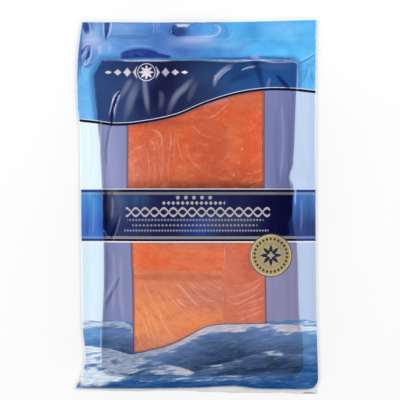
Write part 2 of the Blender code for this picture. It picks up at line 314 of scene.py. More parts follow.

# Soft patches in the film, painted highlight above zero and doubled ink with painted shade below: tone as
# above, centre and half sizes in px of the photo.
FILM_PATCHES = (
    (0.42, (92, 38), (8, 6)),
    (0.16, (122, 28), (12, 6)),
    (0.20, (96, 26), (3, 8)),
    (0.30, (94, 44), (12, 6)),
    (-0.18, (150, 40), (30, 10)),
    (-0.30, (196, 51), (26, 7)),
    (-0.22, (232, 52), (22, 5)),
    (-0.25, (88, 62), (8, 10)),
    (-0.30, (90, 26), (6, 5)),
    (-0.30, (245, 72), (14, 9)),
    (-0.20, (200, 96), (24, 10)),
    (0.04, (275, 66), (14, 4)),
    (-0.80, (157, 95), (8, 14)),
    (-0.50, (168, 84), (8, 14)),
    (-0.40, (141, 105), (6, 11)),
    (-0.28, (124, 68), (24, 12)),
    (-0.40, (165, 70), (13, 11)),
    (-0.30, (108, 212), (7, 22)),
    (-0.85, (179, 31.5), (9, 5)),
    (-0.35, (281, 212), (9, 32)),
    (-0.35, (104, 196), (7, 6)),
    (0.05, (228, 222), (26, 9)),
    (0.07, (116, 206), (8, 14)),
    (0.10, (283, 30), (20, 9)),
    (-0.10, (250, 34), (12, 12)),
    (0.10, (236, 46), (14, 6)),
    (-0.10, (300, 48), (12, 9)),
    (0.40, (100, 50), (1.9, 4.4)),
    (0.20, (196, 42), (26, 6)),
    (0.40, (255, 57.4), (4, 1.8)),
    (0.24, (110, 48), (2.2, 3.6)),
    (-0.10, (122, 150), (8, 40)),
    (0.10, (112, 165), (8, 28)),
)

# Slices: name, flesh, middle of the fat rings, their spacing, lift, corners from the foot left round in mm.
SLICES = (
    ("slice_back", "#DA623C", (16.8, 36.4), 7.4, 0.0,
     ((-53.0, -6.0), (52.0, -6.0), (52.0, 83.0), (-52.0, 83.0))),
    ("slice_left", "#DB6947", (-92.0, 14.0), 4.4, 0.12,
     ((-53.0, -4.0), (-18.0, -4.0), (-21.0, 47.0), (-52.0, 27.0))),
    ("slice_fan", "#E28460", (28.8, -20.2), 5.6, 0.0,
     ((-52.0, -101.0), (52.0, -101.0), (52.0, -36.0), (-52.0, -36.0))),
    ("slice_middle", "#EE774A", (2.0, 60.0), 7.0, 0.12,
     ((-52.0, -44.2), (19.0, -44.2), (19.0, -8.0), (-52.0, -8.0))),
    ("slice_right", "#DC775E", (19.5, -18.0), 4.2, 0.22,
     ((17.6, -88.0), (52.5, -86.0), (52.5, -4.0), (17.6, -4.0))),
)
LOWER_CORNERS = ((-54.0, -102.0), (53.0, -102.0), (53.0, 84.0), (-54.0, 84.0))
LOWER_PITCH = 2.0
LOWER_GAP = 0.3
SLICE_FOOT = 0.6
SLICE_PITCH = 0.6
SLICE_THICKNESS = 2.0
FILM_TO_FISH = 0.6
LOWER_LAYERS = 3
GRAIN_MAP_SIZE = 100.0   # mm in one unit of the grain map

# Soft patches of flesh: tone, centre and half sizes in px of the photo, strength. The darker patches along
# the windows' edges are painted shade; the others are the flesh's own tone.
FLESH_PATCHES = (
    ("deep", (252, 138), (14, 32), 0.75),
    ("deep", (243, 166), (10, 14), 0.50),
    ("deep", (226, 117), (12, 9), 0.55),
    ("deep", (134, 131), (10, 8), 0.35),
    ("deep", (186, 146), (8, 16), 0.35),
    ("pink", (136, 174), (14, 12), 0.50),
    ("pink", (152, 164), (22, 20), 0.10),
    ("pink", (168, 185), (50, 4), 0.35),
    ("dark_and_shaded", (211, 152), (18, 20), 0.35),
    ("dark_and_shaded", (196, 182), (74, 5), 0.50),
    ("dark_and_shaded", (222, 176), (42, 10), 0.55),
    ("dark_and_shaded", (160, 123), (36, 5), 0.55),
    # Painted shadow of the band's print and of the header's print on the flesh.
    ("print_shadow", (222, 190), (100, 8), 0.80),
    ("print_shadow", (160, 190), (60, 7), 0.40),
    ("print_shadow", (250, 97), (26, 10), 0.24),
    ("dark_and_shaded", (200, 110), (22, 6), 0.35),
    ("amber", (188, 171), (14, 6), 0.25),
    ("amber", (236, 142), (10, 22), 0.22),
    ("dark_and_shaded", (262, 150), (7, 40), 0.28),
    ("amber", (250, 104), (14, 8), 0.30),
    ("deep", (150, 259), (16, 10), 0.50),
    ("deep", (243, 250), (14, 8), 0.35),
    ("pink", (200, 245), (42, 4), 0.75),
    ("pink", (196, 258), (20, 8), 0.20),
    ("dark_and_shaded", (252, 266), (10, 16), 0.45),
    ("pink", (206, 293), (22, 14), 0.85),
    ("pink", (146, 290), (10, 10), 0.20),
    ("amber", (150, 318), (34, 26), 0.95),
    ("amber", (190, 320), (26, 12), 0.80),
    ("amber", (146, 282), (12, 8), 0.25),
    ("dark_and_shaded", (262, 300), (6, 24), 0.40),
    ("dark_and_shaded", (140, 342), (20, 6), 0.35),
)

# Lines of fat and shadows of overlaps: tone, half width in mm, strength, and points in px of the photo.
STREAKS = (
    ("fat", 0.65, 0.60, ((150.0, 129.6), (158.0, 132.6), (162.0, 138.0), (162.2, 151.0))),
    ("fat", 0.65, 0.50, ((169.9, 133.5), (171.6, 142.2), (169.0, 153.0))),
    ("fat", 0.60, 0.55, ((149.7, 140.0), (154.7, 145.1), (155.3, 152.0))),
    ("fat", 0.70, 0.40, ((128.6, 158.0), (134.6, 150.8), (143.9, 145.8))),
    ("fat", 0.60, 0.38, ((128.6, 168.5), (134.5, 162.5), (139.5, 158.0))),
    ("fat", 0.60, 0.22, ((146.8, 148.0), (149.0, 161.0), (149.6, 186.0))),
    ("fat", 0.60, 0.26, ((153.3, 152.4), (155.5, 166.8), (154.6, 186.0))),
    ("fat", 0.60, 0.26, ((162.0, 152.0), (162.6, 166.8), (159.6, 186.0))),
    ("fat", 0.60, 0.26, ((169.9, 152.4), (168.3, 166.8), (169.2, 186.0))),
    ("fat", 0.55, 0.30, ((175.2, 133.0), (174.6, 150.0), (174.0, 168.0))),
    ("fat", 0.60, 0.34, ((177.2, 135.0), (178.0, 143.7), (182.2, 158.1), (189.5, 166.8))),
    ("fat", 0.60, 0.24, ((187.6, 140.0), (188.2, 155.3), (198.1, 168.3), (212.6, 176.0))),
    ("fat", 0.55, 0.35, ((192.4, 124.9), (198.1, 132.1), (206.8, 138.0))),
    ("fat", 0.70, 0.42, ((204.8, 118.6), (213.5, 117.0), (220.2, 111.6), (229.4, 103.6))),
    ("fat", 0.60, 0.18, ((201.0, 110.4), (208.0, 111.4), (213.0, 116.0))),
    ("fat", 0.60, 0.18, ((225.6, 145.0), (228.0, 153.0), (223.0, 161.0), (214.0, 163.0))),
    ("fat", 0.60, 0.40, ((245.0, 174.4), (254.0, 173.0), (262.4, 169.8))),
    ("fat", 0.60, 0.30, ((246.0, 183.0), (255.0, 181.6), (262.4, 178.6))),
    ("fat", 0.55, 0.25, ((257.0, 124.0), (251.0, 129.6), (246.6, 134.0))),
    ("fat", 0.90, 0.70, ((240.4, 150.2), (242.8, 149.0))),
    ("fat", 0.80, 0.50, ((239.4, 161.4), (237.6, 164.6))),
    ("fat", 0.80, 0.50, ((233.8, 174.0), (232.6, 177.0))),
    ("fat", 0.90, 0.60, ((211.2, 117.4), (214.0, 116.6))),
    ("fat", 0.90, 0.45, ((137.4, 173.0), (138.6, 176.0))),
    ("fat", 0.90, 0.40, ((179.0, 166.4), (180.4, 168.4))),
    ("fat", 0.70, 0.80, ((174.4, 280.6), (184.2, 290.0), (195.3, 302.6), (200.5, 306.0))),
    ("fat", 0.80, 0.75, ((176.6, 297.2), (181.4, 302.6), (188.0, 306.6))),
    ("fat", 0.65, 0.55, ((188.0, 284.4), (198.1, 292.1), (206.5, 299.1), (217.2, 300.2))),
    ("fat", 0.60, 0.45, ((194.0, 281.6), (203.6, 288.4), (209.4, 292.6))),
    ("fat", 0.60, 0.35, ((201.0, 283.0), (212.0, 289.0), (221.0, 290.0))),
    ("fat", 0.65, 0.50, ((140.9, 296.3), (146.5, 311.0), (152.1, 330.5), (156.3, 345.0))),
    ("fat", 0.65, 0.55, ((140.6, 313.0), (146.5, 326.3), (150.2, 340.0))),
    ("fat", 0.70, 0.60, ((154.2, 305.4), (160.4, 312.3), (163.4, 322.1), (177.0, 341.0))),
    ("fat", 0.60, 0.50, ((149.3, 306.8), (154.9, 322.1), (162.4, 340.0))),
    ("fat", 0.60, 0.45, ((143.7, 279.0), (150.7, 297.0), (158.0, 309.0))),
    ("fat", 0.60, 0.35, ((153.0, 284.0), (160.0, 298.0), (170.0, 313.0), (182.0, 328.0))),
    ("fat", 0.60, 0.35, ((162.0, 283.0), (171.0, 297.0), (184.0, 311.0), (196.0, 320.0))),
    ("fat", 0.65, 0.55, ((226.0, 299.8), (235.8, 302.6), (246.5, 298.4), (264.0, 288.6))),
    ("fat", 0.60, 0.50, ((241.3, 304.6), (253.9, 300.4), (264.6, 295.8))),
    ("fat", 0.60, 0.45, ((238.6, 311.0), (252.0, 308.4), (264.6, 304.0))),
    ("fat", 0.65, 0.50, ((236.6, 320.4), (250.0, 314.6), (264.6, 309.0))),
    ("fat", 0.60, 0.45, ((225.4, 294.6), (235.8, 295.6), (251.1, 288.6), (264.0, 280.8))),
    ("fat", 0.55, 0.35, ((238.0, 290.0), (250.0, 284.0), (260.0, 278.4))),
    ("fat", 0.55, 0.30, ((136.0, 272.0), (140.0, 268.0), (143.0, 266.4))),
    ("fat", 0.80, 0.45, ((221.4, 296.4), (222.0, 298.4))),
    ("fat", 0.80, 0.45, ((217.2, 308.4), (218.8, 309.8))),
    ("fat", 0.80, 0.35, ((223.0, 283.6), (223.6, 285.2))),
    ("fat", 0.70, 0.35, ((223.6, 246.0), (224.4, 252.0), (223.4, 258.0))),
    ("dark_and_shaded", 3.2, 0.40, ((128.0, 276.4), (160.0, 276.2), (200.0, 276.8), (226.0, 276.6))),
    ("dark_and_shaded", 0.5, 0.30, ((224.4, 262.0), (223.2, 284.0), (224.8, 304.0), (223.8, 322.0))),
    ("dark_and_shaded", 0.4, 0.25, ((132.0, 270.8), (180.0, 271.6), (224.0, 271.0))),
)

# Where the lines of fat show, with the same numbers as a patch of flesh.
MARBLED = (
    ((152, 158), (22, 30), 0.55),
    ((134, 160), (10, 20), 0.45),
    ((195, 300), (34, 22), 0.80),
    ((150, 325), (26, 24), 0.80),
    ((250, 298), (20, 22), 0.80),
    ((160, 262), (40, 10), 0.20),
)


def linear(hex_colour):
    """Linear colour of an sRGB hex value."""
    channels = [int(hex_colour[start:start + 2], 16) / 255.0 for start in (1, 3, 5)]
    return tuple(c / 12.92 if c <= 0.04045 else ((c + 0.055) / 1.055) ** 2.4 for c in channels)


def colour_property(name, description, hex_colour):
    return FloatVectorProperty(
        name=name, description=description, default=linear(hex_colour),
        subtype='COLOR', size=3, min=0.0, max=1.0,
    )


def length_property(name, description, value):
    return FloatProperty(
        name=name, description=description, default=value * MM, unit='LENGTH', precision=5,
    )


def power_property(name, description, value):
    return FloatProperty(name=name, description=description, default=value, unit='POWER')


class PouchSizes(bpy.types.PropertyGroup):
    """Sizes of the film and of what it holds."""
    seal_height: length_property("Seal", "Height of the two welded films", 0.75)
    board_height: length_property("Board edge", "Height of the film over the edge of the board", 2.9)
    edge_ridge: length_property("Edge ridge", "Height of the ridge along the edge of the board", 0.6)
    block_height: length_property("Block", "Height of the slices over the board", 8.0)
    slot_length: length_property("Slot length", "Length of the hang slot", 32.0)
    slot_width: length_property("Slot width", "Width of the hang slot", 8.0)
    ripple: length_property("Ripple", "Depth of the fine ripples in the film", 0.14)
    board_thickness: length_property("Board", "Thickness of the board", 0.7)


class InkColours(bpy.types.PropertyGroup):
    """Colours of the print on the film."""
    # Doubled ink also stands for painted shade of folds and dark patches; the gleam is a painted highlight.
    gather: colour_property("Doubled ink", "Tint of the ink where the film is folded over", "#3C4C9C")
    gleam: colour_property("Gleam", "Pale tone of stretched film", "#C8D2F0")
    haze_left: colour_property("Haze left", "Pale ink in the left margin", "#E8F9FF")
    haze_right: colour_property("Haze right", "Pale ink in the right margin", "#BDD0EE")
    strip_left: colour_property("Strip left", "Pale ink over the board, left of the windows", "#9096C2")
    strip_right: colour_property("Strip right", "Pale ink over the board, right of the windows", "#6970A3")
    gold: colour_property("Gold", "Gold ink of the seal", "#A8996F")
    cream: colour_property("Cream", "Pale metal ink of the fine lines", "#F6F0E6")
    bronze: colour_property("Bronze", "Dull metal ink of the inner lines of the band", "#787474")
    silver: colour_property("Silver", "Silver ink of the ornaments", "#B4AFB4")
    line_navy: colour_property("Line navy", "Darkest ink of the fine lines", "#080C34")
    sea_light: colour_property("Sea light", "Lit side of the swells over the board", "#6885B8")
    sea_deep: colour_property("Sea deep", "Deep troughs of the swells over the board", "#213656")
    open_light: colour_property("Open sea light", "Lit side of the swells in the margins", "#76A8DC")
    open_deep: colour_property("Open sea deep", "Deep troughs of the swells in the margins", "#124C88")
    foam: colour_property("Foam", "Foam along the swells", "#D4C4CE")


class FishColours(bpy.types.PropertyGroup):
    """Colours of the smoked salmon and of the board."""
    flesh_deep: colour_property("Deep flesh", "Saturated red-orange flesh", "#E85C2C")
    flesh_amber: colour_property("Amber flesh", "Yellow-orange, drier flesh", "#F4945E")
    flesh_pink: colour_property("Pink flesh", "Paler pinkish flesh", "#D47C69")
    # Dark flesh is partly the flesh's own darker tone and partly painted shade where slices overlap and
    # along the windows' edges.
    flesh_dark_and_shaded: colour_property("Dark flesh", "Darker flesh where slices overlap", "#BC4E34")
    # The brown flesh tone is a painted shadow of the print on the film over the slices.
    flesh_print_shadow: colour_property("Brown flesh", "Cut edge of the slices, browned by the smoke", "#6E3020")
    fat: colour_property("Fat", "Fine lines of fat", "#FBCBAE")
    board: colour_property("Board", "Coated board under the slices", "#3F3C5E")


class StageLook(bpy.types.PropertyGroup):
    """Floor, light and camera."""
    floor: colour_property("Floor", "Pale studio floor", "#F1F1F1")
    right_power: power_property("Right light", "Power of the right softbox", 16.0)
    left_power: power_property("Left light", "Power of the left softbox", 16.0)
    end_power: power_property("End lights", "Power of the far and the near softbox", 9.5)
    surround: FloatProperty(
        name="Surround", description="Strength of the pale surround", default=0.10, min=0.0)
    lens: FloatProperty(name="Lens", description="Focal length of the camera", default=150.0, unit='CAMERA')


def ease(value):
    """Smooth step from 0 to 1."""
    value = np.clip(value, 0.0, 1.0)
    return value * value * (3.0 - 2.0 * value)


def ramp(value):
    """Even rise from 0 to 1 that is rounded at both ends."""
    value = np.clip(value, 0.0, 1.0)
    near_end = np.minimum(value, 1.0 - value)
    rise = np.where(near_end < 0.2, near_end ** 2 / 0.32, (near_end - 0.1) / 0.8)
    return np.where(value < 0.5, rise, 1.0 - rise)


def from_photo(point):
    """Place in mm of a point that is given in px of the photo."""
    return np.array([(point[0] - PHOTO_MIDDLE[0]) / PX_PER_MM, (PHOTO_MIDDLE[1] - point[1]) / PX_PER_MM])


def along_curve(points, station):
    """Values at the stations of the smooth curve through (station, value) points."""
    stops, values = (np.array(column, dtype=float) for column in zip(*points))
    slopes = np.gradient(values, stops)
    slopes[1:-1] = (values[2:] - values[:-2]) / (stops[2:] - stops[:-2])
    index = np.clip(np.searchsorted(stops, station) - 1, 0, len(stops) - 2)
    span = stops[index + 1] - stops[index]
    t = np.clip((station - stops[index]) / span, 0.0, 1.0)
    return (values[index] + (values[index + 1] - values[index]) * ease(t)
            + slopes[index] * span * t * (1.0 - t) ** 2
            - slopes[index + 1] * span * t * t * (1.0 - t))


def right_side(y):
    """Right side of the pouch with the rounded corner at its foot."""
    drop = np.clip(FOOT_CORNER - (y - FOOT_END[-1][1]), 0.0, FOOT_CORNER)
    return along_curve(RIGHT_SIDE, y) - FOOT_CORNER + np.sqrt(FOOT_CORNER ** 2 - drop ** 2)


def rounded_inset(x, y, left, right, foot, top, radius):
    """Distance in from the edge of a rectangle with round corners."""
    across = np.minimum(x - left, right - x)
    along = np.minimum(y - foot, top - y)
    corner = (across < radius) & (along < radius)
    return np.where(corner, radius - np.hypot(radius - across, radius - along), np.minimum(across, along))


def pack_corner(y):
    """Radius of the vacuum pack's corners, which are tighter at its top."""
    return np.where(y > 0.0, PACK_TOP_CORNER, PACK_CORNER)


def in_pack(x, y):
    """Distance in from the edge of the vacuum pack."""
    left, right = along_curve(PACK_LEFT, y), along_curve(PACK_RIGHT, y)
    inset = rounded_inset(x, y, left, right, PACK_FOOT, PACK_TOP, pack_corner(y))
    (x0, y0), (x1, y1) = PACK_CHAMFER
    cut = ((x - x0) * (y1 - y0) - (y - y0) * (x1 - x0)) / math.hypot(x1 - x0, y1 - y0)
    return np.minimum(inset, cut)


def in_block(x, y):
    """Distance in from the uneven edge of the block of slices."""
    inset = rounded_inset(x, y, BLOCK_LEFT, BLOCK_RIGHT, BLOCK_FOOT, BLOCK_TOP, BLOCK_CORNER)
    return inset + BLOCK_WOBBLE * (np.sin(0.085 * y + 0.6) + np.sin(0.13 * x + 1.9))


def in_window(x, y):
    """Distance in from the edge of the nearer clear window; below zero outside them."""
    middle = 0.5 * (BAND_TOP + BAND_FOOT)
    sides = np.minimum(x - WINDOW_LEFT, WINDOW_RIGHT - x)
    upper = np.minimum(np.minimum(sides, along_curve(HEADER_CURVE, x) - y), y - middle)
    sides = np.minimum(x - along_curve(LOWER_WINDOW_LEFT, y), along_curve(LOWER_WINDOW_RIGHT, y) - x)
    lower = np.minimum(np.minimum(sides, y - along_curve(WINDOW_FOOT, x)), middle - y)
    return np.maximum(upper, lower)


def fold_profile(x, y, points, half_width, crisp=False):
    """1 along the middle of a fold, easing to 0 at its sides and its ends."""
    stops = np.array([from_photo(point) for point in points])
    share = np.linspace(0.0, len(stops) - 1.0, 8 * len(stops) - 7)
    route = np.column_stack([along_curve(list(enumerate(column)), share) for column in stops.T])
    low, high = route.min(axis=0) - half_width, route.max(axis=0) + half_width
    near = np.flatnonzero((x > low[0]) & (x < high[0]) & (y > low[1]) & (y < high[1]))
    px, py = x[near], y[near]
    nearest, where = np.full(len(near), np.inf), np.zeros(len(near))
    for index, (start, end) in enumerate(zip(route[:-1], route[1:])):
        run = end - start
        t = np.clip(((px - start[0]) * run[0] + (py - start[1]) * run[1]) / (run @ run), 0.0, 1.0)
        gap = np.hypot(px - start[0] - t * run[0], py - start[1] - t * run[1])
        where = np.where(gap < nearest, (index + t) / (len(route) - 1), where)
        nearest = np.minimum(gap, nearest)
    sharpness, blunt, fading = (2.2, 0.12, 1.0) if crisp else (1.15, 0.35, max(1.0, 0.6 * half_width))
    taper = blunt + (1.0 - blunt) * np.sqrt(np.sin(np.pi * np.clip(where, 0.01, 0.99)))
    end_fade = ease(4.0 * sharpness / fading * np.minimum(where, 1.0 - where) + 0.1)
    profile = np.zeros(len(x))
    profile[near] = ease(sharpness - sharpness * nearest / (half_width * taper)) * end_fade
    return profile


def soft_patch(x, y, centre, half_sizes):
    """1 in the middle of a soft oval, easing to 0 outside it."""
    middle = from_photo(centre)
    across = (x - middle[0]) * PX_PER_MM / half_sizes[0]
    along = (y - middle[1]) * PX_PER_MM / half_sizes[1]
    return ease(1.35 - 0.85 * np.hypot(across, along))


def slot_distance(x, y, sizes):
    """Distance out from the edge of the hang slot."""
    half_run = (sizes.slot_length - sizes.slot_width) / 2.0 / MM
    across = np.maximum(np.abs(x - SLOT_CENTRE[0]) - half_run, 0.0)
    return np.hypot(across, y - SLOT_CENTRE[1]) - sizes.slot_width / 2.0 / MM


def pouch_height(x, y, sizes):
    """Height in mm of the film without its folds, and how far it is off the seal."""
    sides = np.minimum(x - along_curve(LEFT_SIDE, y), right_side(y) - x)
    ends = np.minimum(along_curve(HEADER_END, x) - y, y - along_curve(FOOT_END, x))
    off_seal = ease(np.minimum(sides, ends) / FLAT_SEAL)
    inset = in_pack(x, y)
    seal, board = sizes.seal_height / MM, sizes.board_height / MM
    height = seal + (board - seal) * ease(1.0 + np.minimum(inset, 0.0) / MARGIN_SLOPE) * off_seal
    height += sizes.edge_ridge / MM * ease(1.0 - np.abs(inset - 1.0) / EDGE_RIDGE_WIDTH) * off_seal
    height += sizes.block_height / MM * ramp(in_block(x, y) / BLOCK_SHOULDER)
    halo = ease(1.0 - np.abs(slot_distance(x, y, sizes) - 2.0) / SLOT_HALO_WIDTH)
    return height + SLOT_HALO_HEIGHT * halo, off_seal


def ripples(x, y, across_mm, along_mm, seed):
    """Noise drawn out into ripples of the given sizes."""
    return np.array([
        noise.noise(Vector((px / across_mm, py / along_mm, seed))) for px, py in zip(x, y)
    ])


def film_height(x, y, sizes):
    """Height in mm of the upper film with its folds and ripples."""
    height, off_seal = pouch_height(x, y, sizes)
    for _, half_width, rise, points in FOLDS:
        if rise:
            height = height + rise * fold_profile(x, y, points, half_width * 1.4) * off_seal
    stops = (-3.0, 1.0, BLOCK_SHOULDER - 3.0, BLOCK_SHOULDER + 3.0)
    slack = np.interp(in_block(x, y), stops, (1.0, 0.3, 0.3, 0.7))
    fine = ripples(x, y, 5.0, 26.0, 1.3) + 0.7 * ripples(x, y, 9.0, 7.0, 4.1)
    return np.maximum(height + slack * off_seal * fine * sizes.ripple / MM, LOWEST_FILM)


def back_height(x, y):
    """Height in mm of the back film: flat under the board and lifted towards the seals."""
    lifted = BACK_LIFT * (1.0 - ease(1.0 + in_pack(x, y) / 3.0))
    return BACK_REST + lifted + 0.05 * np.sin(0.35 * x + 0.9 * np.sin(0.07 * y)) * (lifted > 0.0)


def place_on_pouch(across, along):
    """Points of the pouch at the given shares of its width and length."""
    nominal = LEFT_SIDE[0][1] + across * (RIGHT_SIDE[0][1] - LEFT_SIDE[0][1])
    foot = along_curve(FOOT_END, nominal)
    y = foot + along * (along_curve(HEADER_END, nominal) - foot)
    left = along_curve(LEFT_SIDE, y)
    return left + across * (right_side(y) - left), y


def points_of(shape):
    """Points of a bmesh in mm."""
    return np.array([vert.co[:] for vert in shape.verts]) / MM


def place_points(shape, x, y, z):
    """Move the points of a bmesh to places given in mm."""
    for vert, px, py, pz in zip(shape.verts, x, y, z):
        vert.co = (px * MM, py * MM, pz * MM)


def unit_grid(columns, rows):
    """New bmesh grid, and how far across and along it each point lies, from 0 to 1."""
    shape = bmesh.new()
    bmesh.ops.create_grid(shape, x_segments=columns, y_segments=rows, size=0.5)
    shares = np.array([vert.co[:] for vert in shape.verts]) + 0.5
    return shape, shares[:, 0], shares[:, 1]


def new_points(result):
    """Points that an extrusion made."""
    return [item for item in result["geom"] if isinstance(item, bmesh.types.BMVert)]


def new_piece(name, shape, materials):
    """Turn a bmesh into a shaded piece whose faces point outwards."""
    bmesh.ops.recalc_face_normals(shape, faces=shape.faces)
    mesh = bpy.data.meshes.new(name)
    shape.to_mesh(mesh)
    shape.free()
    piece = bpy.data.objects.new(name, mesh)
    bpy.context.scene.collection.objects.link(piece)
    for material in materials:
        mesh.materials.append(material)
    mesh.shade_smooth()
    return piece


def replace_node(piece):
    """Let a piece ride on the pouch's body and stand for its solid."""
    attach(piece, BODY)
    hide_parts(NODE)


def add(tree, kind, inputs=None, stops=(), **settings):
    """Add one node with its settings, its ramp's stops, its values and its links; give its live output."""
    node = tree.nodes.new("ShaderNode" + kind)
    for name, value in settings.items():
        setattr(node, name, value)
    for index, (place, hex_colour) in enumerate(stops):
        elements = node.color_ramp.elements
        element = elements[index] if index < 2 else elements.new(place)
        element.position = place
        element.color = (*linear(hex_colour), 1.0)
    for key, value in (inputs or {}).items():
        socket = node.inputs[key]
        if isinstance(value, bpy.types.NodeSocket):
            tree.links.new(value, socket)
        elif socket.type == 'RGBA':
            socket.default_value = (*(linear(value) if isinstance(value, str) else value), 1.0)
        else:
            socket.default_value = value
    return next((socket for socket in node.outputs if socket.enabled), None)


def fresh_material(name, *kept):
    """Empty node material, its tree, the place on the object in mm and the numbers kept at its points."""
    material = bpy.data.materials.new(name)
    material.use_nodes = True
    tree = material.node_tree
    tree.nodes.clear()
    place = add(tree, "TexCoord").node.outputs["Object"]
    position = add(tree, "VectorMath", {0: place, 1: (1.0 / MM,) * 3}, operation='MULTIPLY')
    numbers = [add(tree, "Attribute", attribute_name=field).node.outputs["Fac"] for field in kept]
    return material, tree, position, numbers


def within(tree, value, low, high, soft=0.3):
    """Mask that is 1 where value lies between low and high, with soft edges."""
    sides = []
    for edge, sign in ((low, 1.0), (high, -1.0)):
        if edge is not None:
            limits = {0: value, 1: edge - sign * soft, 2: edge + sign * soft}
            sides.append(add(tree, "MapRange", limits, interpolation_type='SMOOTHSTEP'))
    return all_of(tree, *sides)


def all_of(tree, *masks):
    """Product of masks."""
    result = masks[0]
    for mask in masks[1:]:
        result = add(tree, "Math", {0: result, 1: mask}, operation='MULTIPLY')
    return result


def grain(tree, position, size_mm, detail=3.0, low=0.35, high=0.65):
    """Noise from 0 to 1 with features of the given sizes in mm across, along and up."""
    stretch = {0: position, 1: [1.0 / size for size in size_mm]}
    stretched = add(tree, "VectorMath", stretch, operation='MULTIPLY')
    clouds = add(tree, "TexNoise", {"Vector": stretched, "Scale": 1.0, "Detail": detail})
    return add(tree, "MapRange", {0: clouds, 1: low, 2: high})


def lay_tones(tree, colour, *layers, blend='MIX'):
    """Lay tones over a colour, each where its mask shows it."""
    for mask, tone in layers:
        colour = add(tree, "Mix", {0: mask, 6: colour, 7: tone}, data_type='RGBA', blend_type=blend)
    return colour


def lay_inks(tree, inks):
    """Lay inks over each other: each has a mask, a colour and how well it covers."""
    _, colour, cover = inks[0]
    for mask, ink, hiding in inks[1:]:
        colour = lay_tones(tree, colour, (mask, ink))
        cover = add(tree, "Mix", {0: mask, 2: cover, 3: hiding}, data_type='FLOAT')
    return colour, cover


def polar(tree, x, y, centre):
    """Offset across from a centre, the distance from it and the turn round it from straight up."""
    shift_x, shift_y = (
        add(tree, "Math", {0: axis, 1: place}, operation='SUBTRACT') for axis, place in zip((x, y), centre)
    )
    both = add(tree, "CombineXYZ", {0: shift_x, 1: shift_y})
    reach = add(tree, "VectorMath", {0: both}, operation='LENGTH')
    turn = add(tree, "Math", {0: shift_x, 1: shift_y}, operation='ARCTAN2')
    return shift_x, reach, turn


def star_mask(tree, reach, turn, radius, points=5, waist=0.45):
    """Star with one point straight up."""
    share = add(tree, "Math", {0: turn, 1: math.tau / points}, operation='DIVIDE')
    tooth = add(tree, "Math", {0: share, 1: 0.5}, operation='PINGPONG')
    edge = add(tree, "MapRange", {0: tooth, 2: 0.5, 3: radius, 4: radius * waist})
    inside = add(tree, "Math", {0: edge, 1: reach}, operation='SUBTRACT')
    return within(tree, inside, 0.0, None, 0.2)


def lozenge_row(tree, x, y, level, pitch, half_length, half_height, ends):
    """Row of lozenges along the line y = level, from one end to the other."""
    across = add(tree, "Math", {0: x, 1: pitch / 2.0}, operation='PINGPONG')
    across = add(tree, "Math", {0: across, 1: half_length}, operation='DIVIDE')
    up = add(tree, "Math", {0: y, 1: level}, operation='SUBTRACT')
    up = add(tree, "Math", {0: up}, operation='ABSOLUTE')
    up = add(tree, "Math", {0: up, 1: half_height}, operation='DIVIDE')
    total = add(tree, "Math", {0: across, 1: up}, operation='ADD')
    return all_of(tree, within(tree, total, None, 1.0, 0.25), within(tree, x, *ends, 0.2))


def wave_line(tree, x, y, level, height, period, half_width, ends):
    """Line that swings up and down round the line y = level."""
    angle = add(tree, "Math", {0: x, 1: math.tau / period}, operation='MULTIPLY')
    swing = add(tree, "Math", {0: angle}, operation='SINE')
    centre = add(tree, "Math", {0: swing, 1: height, 2: level}, operation='MULTIPLY_ADD')
    gap = add(tree, "Math", {0: y, 1: centre}, operation='SUBTRACT')
    line = within(tree, gap, -half_width, half_width, 0.25)
    return all_of(tree, line, within(tree, x, *ends, 0.2))


def seal_inks(tree, x, y, inks):
    """Round gold seal: a disc with a rim, a ring of lozenges, a ring line and a compass star."""
    _, reach, turn = polar(tree, x, y, SEAL_CENTRE)
    share = add(tree, "Math", {0: turn, 1: SEAL_LOZENGES / math.tau}, operation='MULTIPLY')
    return (
        (within(tree, reach, None, SEAL_RADIUS + 0.25), "#5C5548", 0.97),
        (within(tree, reach, None, SEAL_RADIUS - 0.35), inks.gold, 0.98),
        (within(tree, reach, 12.9, 13.3, 0.2), "#D9CCA2", 0.98),
        (lozenge_row(tree, share, reach, 10.9, 1.0, 0.36, 1.25, (-14.0, 14.0)), "#3A3636", 0.98),
        (within(tree, reach, 7.7, 8.2, 0.2), "#8E8163", 0.98),
        (star_mask(tree, reach, turn, 7.2, 8, 0.42), "#23284A", 0.98),
        (star_mask(tree, reach, turn, 2.6, 4, 0.5), inks.gold, 0.98),
    )


def ornament_inks(tree, x, y, inks):
    """Stars, lozenges and rope of the band, and the star with its chain of lozenges in the header."""
    star_x = add(tree, "Math", {0: x, 1: 1.85}, operation='ADD')
    star_x = add(tree, "Math", {0: star_x, 1: STAR_PITCH / 2.0}, operation='PINGPONG')
    _, reach, turn = polar(tree, star_x, y, (0.0, 4.7))
    stars = all_of(tree, star_mask(tree, reach, turn, 1.5), within(tree, x, -14.6, 10.8, 0.1))
    middle, side = HEADER_STAR, 27.5
    shift, reach, turn = polar(tree, x, y, middle)
    away = add(tree, "Math", {0: shift}, operation='ABSOLUTE')
    height = add(tree, "MapRange", {0: away, 2: side, 3: 4.8, 4: 0.8})
    chain = lozenge_row(tree, shift, y, middle[1], 6.4, 2.5, height, (-side, side))
    return (
        (stars, inks.silver, 0.97),
        (lozenge_row(tree, x, y, 1.1, 3.1, 1.2, 1.3, (-23.0, 18.6)), inks.silver, 0.97),
        *((wave_line(tree, x, y, -4.9, swing, 12.4, 0.72, (-47.0, 48.5)), inks.silver, 0.97)
          for swing in (2.6, -2.6)),
        *((lozenge_row(tree, x, y, level, pitch, half_length, 0.85, ends), "#8F8D9C", 0.95)
          for level, pitch, half_length, ends in DOT_ROWS),
        (all_of(tree, chain, within(tree, reach, 7.0, None)), HEADER_WHITE, 0.97),
        (within(tree, reach, 5.5, 6.0, 0.2), HEADER_WHITE, 0.97),
        (star_mask(tree, reach, turn, 4.9, 8, 0.42), HEADER_WHITE, 0.97),
    )


